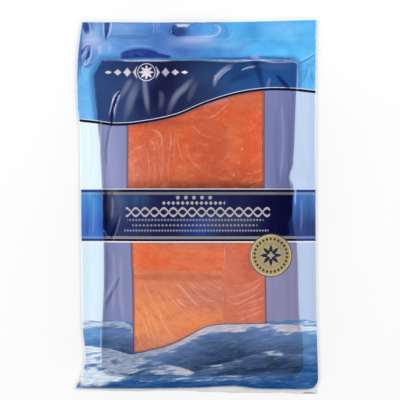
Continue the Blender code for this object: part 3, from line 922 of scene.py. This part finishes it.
def sea_inks(tree, position, x, over_board, inks, kept):
    """Printed swells: water with streaks of chop, and foam that breaks up away from the crests."""
    in_sea, tone, foam = kept
    sea = within(tree, in_sea, 0.0, None, 0.4)
    slanted = add(tree, "VectorRotate", {"Vector": position, "Angle": -0.14}, rotation_type='Z_AXIS')
    chop = grain(tree, slanted, (6.0, 1.1, 30.0), 4.0)
    broad = grain(tree, slanted, (22.0, 5.0, 30.0))
    for mask, share in ((chop, 0.20), (broad, 0.28)):
        mixed = add(tree, "Math", {0: mask, 1: share, 2: -0.5 * share}, operation='MULTIPLY_ADD')
        tone = add(tree, "Math", {0: tone, 1: mixed}, operation='ADD', use_clamp=True)
    lumps = grain(tree, slanted, (9.0, 1.9, 30.0), 5.0, 0.25, 0.75)
    density = add(tree, "Math", {0: lumps, 1: 0.8, 2: foam}, operation='MULTIPLY_ADD')
    foam = within(tree, density, 0.95, None, 0.21)
    veil = all_of(tree, within(tree, density, 0.72, None, 0.26), 0.4)
    open_sea, dark, thin, thick, shaded = (lay_tones(tree, light, (mask, deep)) for light, mask, deep in (
        (inks.open_light, tone, inks.open_deep), (inks.sea_light, tone, inks.sea_deep),
        ("#EAF2F8", chop, "#B4CEE6"), (inks.foam, chop, "#ACACBE"), ("#A2ACC0", chop, "#7C8AA8"),
    ))
    thick = lay_tones(tree, thick, (within(tree, x, None, -22.0, 22.0), shaded))
    return [(all_of(tree, sea, *masks), ink, 0.95) for masks, ink in (
        ((), open_sea), ((over_board,), dark), ((veil,), "#A4BCDC"), ((foam,), thin),
        ((foam, over_board), thick),
    )]


def printed_film_material(inks):
    """Clear polyethylene film, gravure printed from behind: inks under a glossy clear face."""
    material, tree, position, (arc, pack, window, gather, gleam, *sea) = fresh_material(
        "printed_polyethylene_film", "above_curve", "in_pack", "in_window", "gather", "gleam",
        "in_sea", "depth_tone", "foam",
    )
    axes = add(tree, "SeparateXYZ", {0: position}).node
    x, y = axes.outputs[0], axes.outputs[1]
    over_board = within(tree, pack, 0.0, None, 0.4)
    share = add(tree, "MapRange", {0: x, 1: -80.0, 2: 80.0})
    streaks = grain(tree, position, (3.5, 70.0, 30.0), 2.0, 0.25, 0.75)
    clouds = grain(tree, position, (26.0, 18.0, 30.0))
    wobble = add(tree, "Math", {0: clouds, 1: 0.05, 2: share}, operation='MULTIPLY_ADD')

    # Fields of colour; the blue fields change slowly across the pouch.
    sky, low_sky, under, band_open, band_lit, band_dark = (
        add(tree, "ValToRGB", {0: along}, stops) for along, stops in (
            (wobble, SKY), (share, LOW_SKY), (wobble, HEADER_OVER_BOARD),
            (share, BAND_OPEN), (share, BAND_LIT), (wobble, BAND_OVER_BOARD),
        )
    )
    header = within(tree, arc, 0.0, None)
    sky = lay_tones(tree, sky, (within(tree, y, None, 94.0, 5.0), low_sky))
    mottle = grain(tree, position, (11.0, 8.0, 30.0), 4.0, 0.3, 0.7)
    sky = lay_tones(tree, sky, (1.0, lay_tones(tree, "#D4DEEE", (mottle, "#FFFFFF"))), blend='MULTIPLY')
    # Sky ink darker where the film rises to the board's edge: painted shade.
    sky_with_edge_shade = lay_tones(tree, sky, (within(tree, pack, -2.6, None, 2.0), "#4A86C6"))
    band = within(tree, y, BAND_FOOT, BAND_TOP, 0.25)
    lit = add(tree, "MapRange", {0: y, 1: -13.0, 2: 6.0})
    band_open = lay_tones(tree, band_open, (lit, band_lit))
    for middle, reach, near, glow in BAND_GLOWS:
        off = {}
        for index, axis in enumerate((x, y)):
            shift = add(tree, "Math", {0: axis, 1: -middle[index]}, operation='ADD')
            off[index] = add(tree, "Math", {0: shift, 1: reach[index]}, operation='DIVIDE')
        spread = add(tree, "VectorMath", {0: add(tree, "CombineXYZ", off)}, operation='LENGTH')
        fade = {0: spread, 2: 1.6, 3: near, 4: 0.0}
        spread = add(tree, "MapRange", fade, interpolation_type='SMOOTHSTEP')
        band_dark = lay_tones(tree, band_dark, (spread, glow))
    low = within(tree, y, None, -22.0, 12.0)
    pale, strip = (
        lay_tones(
            tree, left, (share, right), (low, lay_tones(tree, low_left, (share, low_right))))
        for left, right, low_left, low_right in (
            (inks.haze_left, inks.haze_right, "#DCF0FC", "#B6C9E6"),
            (inks.strip_left, inks.strip_right, "#7882B0", "#8B88AA"),
        )
    )
    # Streaks of the film's ripples: lighter painted sheen on the strips, and painted sheen and shade on the
    # band.
    strip = lay_tones(tree, strip, (add(tree, "MapRange", {0: streaks, 4: 0.22}), "#A8AEDA"))
    ripple_sheen_and_shade = lay_tones(tree, "#CCD0DC", (streaks, "#FFFFFF"))
    band_open, band_dark = (
        lay_tones(tree, ink, (1.0, ripple_sheen_and_shade), blend='MULTIPLY') for ink in (band_open, band_dark)
    )
    outside = within(tree, window, None, -0.3)

    # Fine lines along the header's curve and along the band.
    navy_line = lay_tones(tree, "#20408C", (over_board, inks.line_navy))
    lines = [
        (within(tree, value, middle - half, middle + half, 0.2), colour, 0.97)
        for value, middle, half, colour in (
            (arc, 0.05, 0.17, inks.cream), (arc, -1.05, 0.88, inks.line_navy),
            (y, BAND_TOP - 0.1, 0.22, inks.cream), (y, BAND_TOP - 1.4, 0.80, navy_line),
            (y, BAND_FOOT + 1.2, 0.70, navy_line), (y, BAND_FOOT - 0.05, 0.40, inks.cream),
        )
    ]
    for middle, metal in ((BAND_TOP - 3.0, inks.bronze), (BAND_FOOT + 2.8, "#8C8A8C")):
        stripe = within(tree, y, middle - 0.8, middle + 0.8, 0.25)
        lines += [
            (all_of(tree, stripe, 0.55), "#90A0BC", 0.95),
            (all_of(tree, over_board, stripe), metal, 0.97),
        ]
    colour, cover = lay_inks(tree, [
        (None, "#F4F6FA", 0.004),
        (outside, pale, 0.95),
        (all_of(tree, outside, over_board), strip, 0.90),
        *sea_inks(tree, position, x, over_board, inks, sea),
        (within(tree, window, -0.55, 0.1, 0.25), "#4A3A62", 0.85),
        (header, sky_with_edge_shade, 0.92),
        (all_of(tree, header, over_board), under, 0.94),
        (band, band_open, 0.94),
        (all_of(tree, band, over_board), band_dark, 0.95),
        *lines,
        *ornament_inks(tree, x, y, inks),
        *seal_inks(tree, x, y, inks),
    ])

    # Doubled film and painted shade multiply the ink under it; painted highlights turn it pale.
    uneven = grain(tree, position, (2.0, 1.4, 2.0), 4.0, 0.25, 0.75)
    gather = all_of(tree, gather, add(tree, "MapRange", {0: uneven, 3: 0.78}))
    colour = lay_tones(tree, colour, (gather, inks.gather), blend='MULTIPLY')
    colour = lay_tones(tree, colour, (gleam, inks.gleam))
    for mask in (gather, gleam):
        cover = add(tree, "Math", {0: cover, 1: mask}, operation='MAXIMUM')

    wrinkle = grain(tree, position, (2.2, 9.0, 5.0), 2.0, 0.2, 0.8)
    bump = add(tree, "Bump", {"Height": wrinkle, "Strength": 0.25, "Distance": 0.0003})
    ink = add(tree, "BsdfPrincipled", {"Base Color": colour, "Roughness": 0.5, "Specular IOR Level": 0.0})
    printed = add(tree, "MixShader", {0: cover, 1: add(tree, "BsdfTransparent"), 2: ink})
    gloss = add(tree, "BsdfAnisotropic", {"Roughness": 0.09, "Normal": bump})
    # Fresnel's share for polyethylene, worked out the same way for both faces of the thin film.
    slant = add(tree, "LayerWeight", {"Blend": 0.5, "Normal": bump}).node.outputs["Facing"]
    slant = add(tree, "Math", {0: slant, 1: 5.0}, operation='POWER')
    mirrored = add(tree, "Math", {0: slant, 1: 0.96, 2: 0.04}, operation='MULTIPLY_ADD')
    shell = add(tree, "MixShader", {0: mirrored, 1: printed, 2: gloss})
    add(tree, "OutputMaterial", {"Surface": shell})
    return material


def back_film_material():
    """Milky polyethylene back film: white pigment blown into the film, satin on both faces."""
    material, tree, position, _ = fresh_material("milky_polyethylene_back")
    colour = lay_tones(tree, "#EEF3F8", (grain(tree, position, (18.0, 18.0, 18.0)), "#FAFBFD"))
    wrinkle = grain(tree, position, (6.0, 14.0, 6.0))
    bump = add(tree, "Bump", {"Height": wrinkle, "Strength": 0.3, "Distance": 0.0004})
    film = add(tree, "BsdfPrincipled", {
        "Base Color": colour, "Roughness": 0.35, "Alpha": 0.85, "Normal": bump,
    })
    add(tree, "OutputMaterial", {"Surface": film})
    return material


def lip_material():
    """Trimmed lip of the two welded films: milky and bluish by the seal, greyed by painted shade towards its
    cut edge, with a painted shadow line along that edge at the right.
    """
    material, tree, position, (lip_share, dark_edge) = fresh_material(
        "milky_film_lip", "lip_share", "dark_edge")
    mottle = grain(tree, position, (9.0, 3.0, 9.0))
    near, far = (lay_tones(tree, dull, (mottle, clear)) for dull, clear in (
        ("#D0DCEC", "#E2EAF4"), ("#D2CECA", "#DEDAD8")))
    colour = lay_tones(tree, near, (lip_share, far), (dark_edge, "#2E2B2D"))
    film = add(tree, "BsdfPrincipled", {"Base Color": colour, "Roughness": 0.35})
    add(tree, "OutputMaterial", {"Surface": film})
    return material


def board_material(colours):
    """Greaseproof coated carton: dark satin face with the faint mottle of its fibres."""
    material, tree, position, _ = fresh_material("coated_carton_board")
    colour = lay_tones(tree, colours.board, (grain(tree, position, (9.0, 9.0, 9.0)), "#4C4868"))
    carton = add(tree, "BsdfPrincipled", {"Base Color": colour, "Roughness": 0.4})
    add(tree, "OutputMaterial", {"Surface": carton})
    return material


def salmon_material(colours, flesh, spacing):
    """Cold-smoked salmon cut in thin slices: moist orange flesh, muscle fibres and lines of fat."""
    tones = ("amber", "pink", "deep", "dark_and_shaded", "print_shadow")
    material, tree, position, (marbled, fat_lines, *masks) = fresh_material(
        "smoked_salmon_flesh", "marbled", "fat", *tones)
    # The grain map holds the distance from the rings' middle and the way round them; here both are in mm.
    rings = add(tree, "UVMap", uv_map="grain")
    rings = add(tree, "VectorMath", {0: rings, 1: (GRAIN_MAP_SIZE,) * 3}, operation='MULTIPLY')
    outward = add(tree, "SeparateXYZ", {0: rings})
    warp = grain(tree, position, (20.0, 20.0, 20.0), 2.0, 0.2, 0.8)
    drift = add(tree, "Math", {0: warp, 1: 9.0, 2: outward}, operation='MULTIPLY_ADD')
    ring = add(tree, "Math", {0: drift, 1: spacing}, operation='DIVIDE')
    tooth = add(tree, "Math", {0: ring, 1: 0.5}, operation='PINGPONG')
    width = add(tree, "MapRange", {0: grain(tree, rings, (4.0, 10.0, 30.0), 2.0), 3: 0.06, 4: 0.17})
    line = add(tree, "MapRange", {0: tooth, 1: width, 2: 0.0}, interpolation_type='SMOOTHSTEP')
    come_and_go = grain(tree, rings, (5.0, 14.0, 30.0), 2.0, 0.42, 0.66)
    fat = all_of(tree, line, come_and_go, marbled, 0.45)
    broken = add(tree, "MapRange", {0: grain(tree, position, (2.2, 2.2, 2.2)), 3: 0.45})
    fat = add(tree, "Math", {0: fat, 1: all_of(tree, fat_lines, broken)}, operation='MAXIMUM')
    fibres = grain(tree, rings, (0.9, 12.0, 30.0), 3.0, 0.3, 0.7)
    fine = all_of(tree, within(tree, fibres, 0.62, None, 0.2), within(tree, marbled, 0.1, None, 0.4), 0.08)
    blotches = grain(tree, position, (7.0, 5.0, 5.0), 4.0, 0.46, 0.72)
    elsewhere = add(tree, "VectorMath", {0: position, 1: (40.0, 70.0, 0.0)}, operation='ADD')
    glow = grain(tree, elsewhere, (6.0, 4.0, 4.0), 4.0, 0.50, 0.75)
    # The darker tones include painted shade at overlaps and along the windows' edges, and a painted shadow
    # of the print on the film.
    colour = lay_tones(
        tree, flesh, *((mask, getattr(colours, "flesh_" + tone)) for mask, tone in zip(masks, tones)),
        (all_of(tree, blotches, 0.34), colours.flesh_dark_and_shaded), (all_of(tree, glow, 0.34), colours.flesh_amber),
        (fine, colours.fat), (fat, colours.fat),
    )
    relief = add(tree, "Math", {0: fibres, 1: 0.4, 2: fat}, operation='MULTIPLY_ADD')
    meat = add(tree, "BsdfPrincipled", {
        "Base Color": colour,
        "Roughness": add(tree, "MapRange", {0: blotches, 3: 0.28, 4: 0.42}),
        "Normal": add(tree, "Bump", {"Height": relief, "Strength": 0.25, "Distance": 0.0004}),
        "Specular IOR Level": 0.2,
    })
    add(tree, "OutputMaterial", {"Surface": meat})
    return material


def store_fields(mesh, **fields):
    """Keep numbers at the points of a mesh as attributes."""
    for name, values in fields.items():
        attribute = mesh.attributes.new(name, 'FLOAT', 'POINT')
        attribute.data.foreach_set("value", np.asarray(values, dtype=np.float32))


def mesh_points(mesh):
    """Points of a mesh in mm."""
    points = np.empty(len(mesh.vertices) * 3)
    mesh.vertices.foreach_get("co", points)
    return points.reshape(-1, 3) / MM


def slot_outline(sizes, inset=0.0):
    """Round-ended outline of the hang slot as one face of a new bmesh."""
    shape = bmesh.new()
    radius = sizes.slot_width / 2.0 - inset
    half_run = (sizes.slot_length - sizes.slot_width) / 2.0
    middle = Vector((SLOT_CENTRE[0] * MM, SLOT_CENTRE[1] * MM, 0.0))
    corners = []
    for side in (1.0, -1.0):
        for step in range(SLOT_END_SEGMENTS + 1):
            angle = math.pi * (step / SLOT_END_SEGMENTS - 0.5)
            reach = Vector((half_run + radius * math.cos(angle), radius * math.sin(angle), 0.0))
            corners.append(shape.verts.new(middle + side * reach))
    shape.faces.new(corners)
    return shape


def store_print(mesh):
    """Keep the distances that the print follows, and the painted highlights, doubled ink and painted shade
    of the folds.
    """
    points = mesh_points(mesh)
    x, y = points[:, 0], points[:, 1]
    foot = along_curve(WINDOW_FOOT, x)
    horizon = HORIZON + 0.5 * np.sin(0.21 * x) + 0.3 * np.sin(0.53 * x + 1.0)
    beside = (x < along_curve(LOWER_WINDOW_LEFT, y)) | (x > along_curve(LOWER_WINDOW_RIGHT, y))
    in_sea = np.where(beside, np.maximum(horizon, foot), foot) - y
    depth_tone, foam = np.clip(0.2 - (y + 78.0) / 40.0, 0.2, 0.8), np.zeros(len(x))
    for crest, depth, amount, start in SWELLS:
        below = along_curve(crest, x) - y
        front = ease(below + 0.5)
        depth_tone = depth_tone + front * (np.clip(start + below / 28.0, 0.0, 1.0) - depth_tone)
        foam = foam + front * (amount * np.clip(1.0 - below / depth, 0.0, 1.0) - foam)
    for centre, half_sizes, amount in FOAM_PATCHES:
        patch = amount * soft_patch(x, y, centre, half_sizes)
        foam = np.maximum(foam, patch) if amount > 0.0 else foam * (1.0 + patch)
    # Pale tones of folds and patches are painted highlights; dark ones are doubled ink and painted shade.
    gleam, gather = np.zeros(len(x)), np.zeros(len(x))
    for tone, half_width, _, route in FOLDS:
        profile = fold_profile(x, y, route, half_width, tone <= 0.0) * abs(tone)
        if tone > 0.0:
            gleam = np.maximum(gleam, profile)
        else:
            gather = np.maximum(gather, profile)
    for tone, centre, half_sizes in FILM_PATCHES:
        patch = soft_patch(x, y, centre, half_sizes) * abs(tone)
        if tone > 0.0:
            gleam = 1.0 - (1.0 - gleam) * (1.0 - patch)
        else:
            gather = 1.0 - (1.0 - gather) * (1.0 - patch)
    store_fields(
        mesh, above_curve=y - along_curve(HEADER_CURVE, x), in_pack=in_pack(x, y), in_window=in_window(x, y),
        in_sea=in_sea, depth_tone=depth_tone, foam=foam, gleam=gleam, gather=gather)


class SALMON_OT_make_film(bpy.types.Operator):
    """Model the front and back film as one sealed bag, the flap in its slot and the lip at its foot"""
    bl_idname = "salmon.make_film"
    bl_label = "Film pouch"

    columns = 230
    rows = 350
    back_columns = 56
    back_rows = 84

    def execute(self, context):
        sizes, inks = context.scene.pouch_sizes, context.scene.ink_colours
        printed, milky = printed_film_material(inks), back_film_material()
        shape, across, along = unit_grid(self.columns, self.rows)
        # The mesh is finer at the left and in the header, where the film is most creased.
        x, y = place_on_pouch(
            np.interp(across, (0.0, 0.4, 1.0), (0.0, 0.33, 1.0)),
            np.interp(along, (0.0, 0.57, 1.0), (0.0, 0.67, 1.0)))
        place_points(shape, x, y, film_height(x, y, sizes))
        self.close_back(shape)
        piece = new_piece("film_pouch", shape, (printed, milky))
        punch = new_piece("slot_punch", self.slot_punch(sizes), ())
        cut = piece.modifiers.new("slot", 'BOOLEAN')
        cut.operation = 'DIFFERENCE'
        cut.object = punch
        finished = bpy.data.meshes.new_from_object(piece.evaluated_get(context.evaluated_depsgraph_get()))
        piece.modifiers.clear()
        piece.data = finished
        bpy.data.objects.remove(punch)
        store_print(finished)
        replace_node(piece)
        self.make_flap(sizes, printed)
        self.make_lip()
        return {'FINISHED'}

    def close_back(self, shape):
        """Close the bag with a back film that rests flat under the board."""
        rim = [edge for edge in shape.edges if edge.is_boundary]
        for vert in new_points(bmesh.ops.extrude_edge_only(shape, edges=rim)):
            vert.co.z = WELD_HEIGHT * MM
        rim = [edge for edge in shape.edges if edge.is_boundary]
        for face in bmesh.ops.edgeloop_fill(shape, edges=rim)["faces"]:
            face.material_index = 1
        for axis, count in enumerate((self.back_columns, self.back_rows)):
            half = BACK_HALF_SIZES[axis]
            normal = Vector((1.0 - axis, float(axis), 0.0))
            for place in np.linspace(-half, half, count + 1)[1:-1]:
                faces = [face for face in shape.faces if face.material_index == 1]
                edges = list({edge for face in faces for edge in face.edges})
                bmesh.ops.bisect_plane(
                    shape, geom=faces + edges, dist=1e-6,
                    plane_co=normal * float(place) * MM, plane_no=normal)
        under = {vert for face in shape.faces if face.material_index == 1 for vert in face.verts}
        inner = [vert for vert in under if all(face.material_index == 1 for face in vert.link_faces)]
        places = np.array([vert.co[:] for vert in inner]) / MM
        for vert, height in zip(inner, back_height(places[:, 0], places[:, 1])):
            vert.co.z = height * MM

    @staticmethod
    def slot_punch(sizes):
        """Round-ended punch that goes right through both films."""
        shape = slot_outline(sizes)
        bmesh.ops.translate(shape, vec=(0.0, 0.0, -5.0 * MM), verts=shape.verts)
        upper = new_points(bmesh.ops.extrude_face_region(shape, geom=shape.faces[:]))
        bmesh.ops.translate(shape, vec=(0.0, 0.0, 10.0 * MM), verts=upper)
        return shape

    @staticmethod
    def make_flap(sizes, printed):
        """Flap of film that the punch left hanging in the slot, a little short at its upper left."""
        shape = slot_outline(sizes, FLAP_GAP * MM)
        for normal, places in (
            (Vector((1.0, 0.0, 0.0)), np.linspace(-17.0, 15.0, 33)),
            (Vector((0.0, 1.0, 0.0)), (113.6, 114.8, 116.0, 117.2, 118.4, 119.4)),
        ):
            for place in places:
                bmesh.ops.bisect_plane(
                    shape, geom=shape.faces[:] + shape.edges[:], dist=1e-6,
                    plane_co=normal * (float(place) * MM), plane_no=normal)
        points = points_of(shape)
        x, y = points[:, 0], points[:, 1]
        short = 1.7 * ease((y - 115.0) / 5.0) * ease(2.2 - np.abs(x + 9.2) / 2.6)
        fallen = 0.65 * ease((-2.0 - x) / 9.0) + 0.15 * ease((y - 115.5) / 4.0)
        z = FLAP_HEIGHT + 0.04 * np.sin(0.5 * x) - fallen - 0.1 * short
        place_points(shape, x, y - short, np.maximum(z, 0.12))
        bmesh.ops.solidify(shape, geom=shape.faces[:], thickness=FLAP_THICKNESS * MM)
        piece = new_piece("slot_flap", shape, (printed,))
        store_print(piece.data)
        replace_node(piece)

    @staticmethod
    def make_lip():
        """Wavy lip of the back film that shows under the seal at the foot."""
        shape, across, along = unit_grid(240, 14)
        x, out = LIP_LEFT + LIP_LENGTH * across, 1.0 - along
        start = along_curve(FOOT_END, x) + 2.0
        y = start + (along_curve(FOOT_LIP, x) - start) * out
        z = 0.16 + 0.10 * out * np.sin(0.31 * x) - 0.03 * out * np.sin(0.83 * x)
        place_points(shape, x, y, np.maximum(z, 0.06))
        bmesh.ops.solidify(shape, geom=shape.faces[:], thickness=LIP_THICKNESS * MM)
        piece = new_piece("foot_lip", shape, (lip_material(),))
        points = mesh_points(piece.data)
        x, y = points[:, 0], points[:, 1]
        seal, lip = along_curve(FOOT_END, x), along_curve(FOOT_LIP, x)
        store_fields(
            piece.data, lip_share=np.clip((seal - y) / (seal - lip), 0.0, 1.0),
            dark_edge=0.9 * fold_profile(x, y, LIP_SHADOW_LINE, 0.5))
        replace_node(piece)


class SALMON_OT_make_board(bpy.types.Operator):
    """Model the board under the slices"""
    bl_idname = "salmon.make_board"
    bl_label = "Board"

    edge_gap = 1.0
    foot_height = 0.5

    def execute(self, context):
        shape, across, along = unit_grid(40, 60)
        gap = self.edge_gap
        y = PACK_FOOT + gap + along * (PACK_TOP - PACK_FOOT - 2.0 * gap)
        ends = np.minimum(y - PACK_FOOT, PACK_TOP - y) - gap
        radius = pack_corner(y)
        drop = np.clip(radius - ends, 0.0, radius)
        corner = radius - np.sqrt(radius ** 2 - drop ** 2) + gap
        left, right = along_curve(PACK_LEFT, y) + corner, along_curve(PACK_RIGHT, y) - corner
        place_points(shape, left + across * (right - left), y, np.full(len(y), self.foot_height))
        upper = new_points(bmesh.ops.extrude_face_region(shape, geom=shape.faces[:]))
        lift = (0.0, 0.0, context.scene.pouch_sizes.board_thickness)
        bmesh.ops.translate(shape, vec=lift, verts=upper)
        piece = new_piece("board", shape, (board_material(context.scene.fish_colours),))
        piece.data.set_sharp_from_angle(angle=math.radians(40.0))
        replace_node(piece)
        return {'FINISHED'}


class SALMON_OT_make_slices(bpy.types.Operator):
    """Model the slices of smoked salmon that show through the windows, and those under them"""
    bl_idname = "salmon.make_slices"
    bl_label = "Slices"

    def execute(self, context):
        for name, tone, middle, spacing, lift, corners in SLICES:
            flesh = salmon_material(context.scene.fish_colours, tone, spacing)
            self.make_slice(context, name, corners, middle, flesh, lift, 1.0, SLICE_PITCH)
        flesh = salmon_material(context.scene.fish_colours, "#D76643", 6.0)
        for layer in range(1, LOWER_LAYERS + 1):
            self.make_slice(
                context, "slice_under_%d" % layer, LOWER_CORNERS, (90.0, 0.0), flesh,
                -SLICE_THICKNESS - LOWER_GAP, layer / (LOWER_LAYERS + 0.4), LOWER_PITCH)
        return {'FINISHED'}

    @staticmethod
    def make_slice(context, name, corners, ring_middle, flesh, lift, share, pitch):
        """One slice whose top lies at the given share of the height under the film."""
        shape, u, v = unit_grid(*(int(math.dist(corners[0], corners[end]) / pitch) for end in (1, 3)))
        foot = np.outer(1.0 - u, corners[0]) + np.outer(u, corners[1])
        top = np.outer(1.0 - u, corners[3]) + np.outer(u, corners[2])
        flat = foot * (1.0 - v)[:, None] + top * v[:, None]
        x, y = flat[:, 0], flat[:, 1]
        sway = ripples(x, y, 16.0, 16.0, ring_middle[0])
        x, y = x + 1.2 * sway, y + 0.9 * ripples(y, x, 14.0, 14.0, ring_middle[1])
        sizes = context.scene.pouch_sizes
        surface, _ = pouch_height(x, y, sizes)
        base = sizes.board_thickness / MM + SLICE_FOOT
        edge = np.minimum(np.minimum(u, 1.0 - u), np.minimum(v, 1.0 - v))
        lip = 0.3 * (1.0 - ease(edge * 24.0))
        upper = base + np.maximum(surface - FILM_TO_FISH + lift - base, 0.3) * share
        upper = np.maximum(upper + 0.08 * sway * share - lip, base + 0.2)
        place_points(shape, x, y, upper)
        for vert in new_points(bmesh.ops.extrude_face_region(shape, geom=shape.faces[:])):
            vert.co.z = max(vert.co.z - SLICE_THICKNESS * MM, base * MM)
        piece = new_piece(name, shape, (flesh,))
        store_flesh(piece.data, ring_middle)
        replace_node(piece)


def store_flesh(mesh, ring_middle):
    """Keep the grain map round the rings' middle and the soft tones of the flesh."""
    points = mesh_points(mesh)
    x, y = points[:, 0], points[:, 1]
    reach = np.hypot(x - ring_middle[0], y - ring_middle[1])
    turn = np.abs(np.arctan2(y - ring_middle[1], x - ring_middle[0]))
    grain_map = np.column_stack((reach, turn * 45.0)) / GRAIN_MAP_SIZE
    loops = np.empty(len(mesh.loops), dtype=np.int32)
    mesh.loops.foreach_get("vertex_index", loops)
    mesh.uv_layers.new(name="grain").data.foreach_set("uv", grain_map[loops].ravel())
    tones = {name: np.zeros(len(x)) for name in ("amber", "deep", "pink", "dark_and_shaded", "print_shadow", "fat")}
    for tone, centre, half_sizes, strength in FLESH_PATCHES:
        tones[tone] = np.maximum(tones[tone], strength * soft_patch(x, y, centre, half_sizes))
    for tone, half_width, strength, route in STREAKS:
        streak = fold_profile(x, y, route, half_width, tone == "dark_and_shaded")
        tones[tone] = np.maximum(tones[tone], strength * streak)
    marbled = np.full(len(x), 0.12)
    for centre, half_sizes, strength in MARBLED:
        marbled = np.maximum(marbled, strength * soft_patch(x, y, centre, half_sizes))
    store_fields(mesh, marbled=marbled, **tones)


class SALMON_OT_make_stage(bpy.types.Operator):
    """Set up the floor, the soft lights and the camera over the pack"""
    bl_idname = "salmon.make_stage"
    bl_label = "Stage"

    def execute(self, context):
        look = context.scene.stage_look
        shape = bmesh.new()
        bmesh.ops.create_grid(shape, x_segments=8, y_segments=8, size=3.0)
        material, tree, position, _ = fresh_material("matt_studio_floor")
        colour = lay_tones(tree, look.floor, (grain(tree, position, (300.0, 300.0, 300.0)), "#F4F4F4"))
        matt = add(tree, "BsdfPrincipled", {"Base Color": colour, "Roughness": 0.8})
        add(tree, "OutputMaterial", {"Surface": matt})
        new_piece("floor", shape, (material,))
        self.add_lights(context, look)
        self.add_camera(context, look)
        context.scene.view_settings.view_transform = 'Standard'
        return {'FINISHED'}

    @staticmethod
    def add_lights(context, look):
        """Low softboxes all round, so that the flat film mirrors none of them to a camera above."""
        for name, place, power in (
            ("right_softbox", (1.18, 0.34, 0.46), look.right_power),
            ("left_softbox", (-1.22, 0.08, 0.46), look.left_power),
            ("far_softbox", (0.05, 1.22, 0.46), look.end_power),
            ("near_softbox", (-0.05, -1.26, 0.46), look.end_power),
        ):
            data = bpy.data.lights.new(name, 'AREA')
            data.energy, data.size = power, SOFTBOX_WIDTH
            lamp = bpy.data.objects.new(name, data)
            lamp.location = place
            lamp.rotation_euler = (-Vector(place)).to_track_quat('-Z', 'Y').to_euler()
            lamp.visible_camera = False
            context.scene.collection.objects.link(lamp)
        world = bpy.data.worlds.new("pale_surround")
        world.use_nodes = True
        background = world.node_tree.nodes["Background"]
        background.inputs["Strength"].default_value = look.surround
        background.inputs["Color"].default_value = (1.0, 1.0, 1.0, 1.0)
        context.scene.world = world

    @staticmethod
    def add_camera(context, look):
        """Camera straight above, with the photo's scale at the height of the film."""
        data = bpy.data.cameras.new("camera")
        data.lens = look.lens
        camera = bpy.data.objects.new("camera", data)
        width = PHOTO_SIZE / PX_PER_MM * MM
        aim = from_photo((PHOTO_SIZE / 2.0, PHOTO_SIZE / 2.0)) * MM
        camera.location = (aim[0], aim[1], width * data.lens / data.sensor_width)
        context.scene.collection.objects.link(camera)
        context.scene.camera = camera


OPERATORS = (SALMON_OT_make_board, SALMON_OT_make_slices, SALMON_OT_make_film, SALMON_OT_make_stage)
SETTINGS = {
    "pouch_sizes": PouchSizes,
    "ink_colours": InkColours,
    "fish_colours": FishColours,
    "stage_look": StageLook,
}


class SALMON_PT_panel(bpy.types.Panel):
    """Sizes, colours and pieces of the salmon pack"""
    bl_idname = "SALMON_PT_panel"
    bl_label = "Salmon pack"
    bl_space_type = 'VIEW_3D'
    bl_region_type = 'UI'
    bl_category = "Salmon pack"

    def draw(self, context):
        for name in SETTINGS:
            group = getattr(context.scene, name)
            column = self.layout.column(align=True)
            for key in group.bl_rna.properties.keys():
                if key not in {"rna_type", "name"}:
                    column.prop(group, key)
        for operator in OPERATORS:
            self.layout.operator(operator.bl_idname)


CLASSES = (*SETTINGS.values(), *OPERATORS, SALMON_PT_panel)


def register():
    for item in CLASSES:
        bpy.utils.register_class(item)
    for name, group in SETTINGS.items():
        setattr(bpy.types.Scene, name, PointerProperty(type=group))


def unregister():
    for name in SETTINGS:
        delattr(bpy.types.Scene, name)
    for item in reversed(CLASSES):
        bpy.utils.unregister_class(item)


def main():
    register()
    bpy.ops.salmon.make_board()
    bpy.ops.salmon.make_slices()
    bpy.ops.salmon.make_film()
    bpy.ops.salmon.make_stage()


if __name__ == "__main__":
    main()
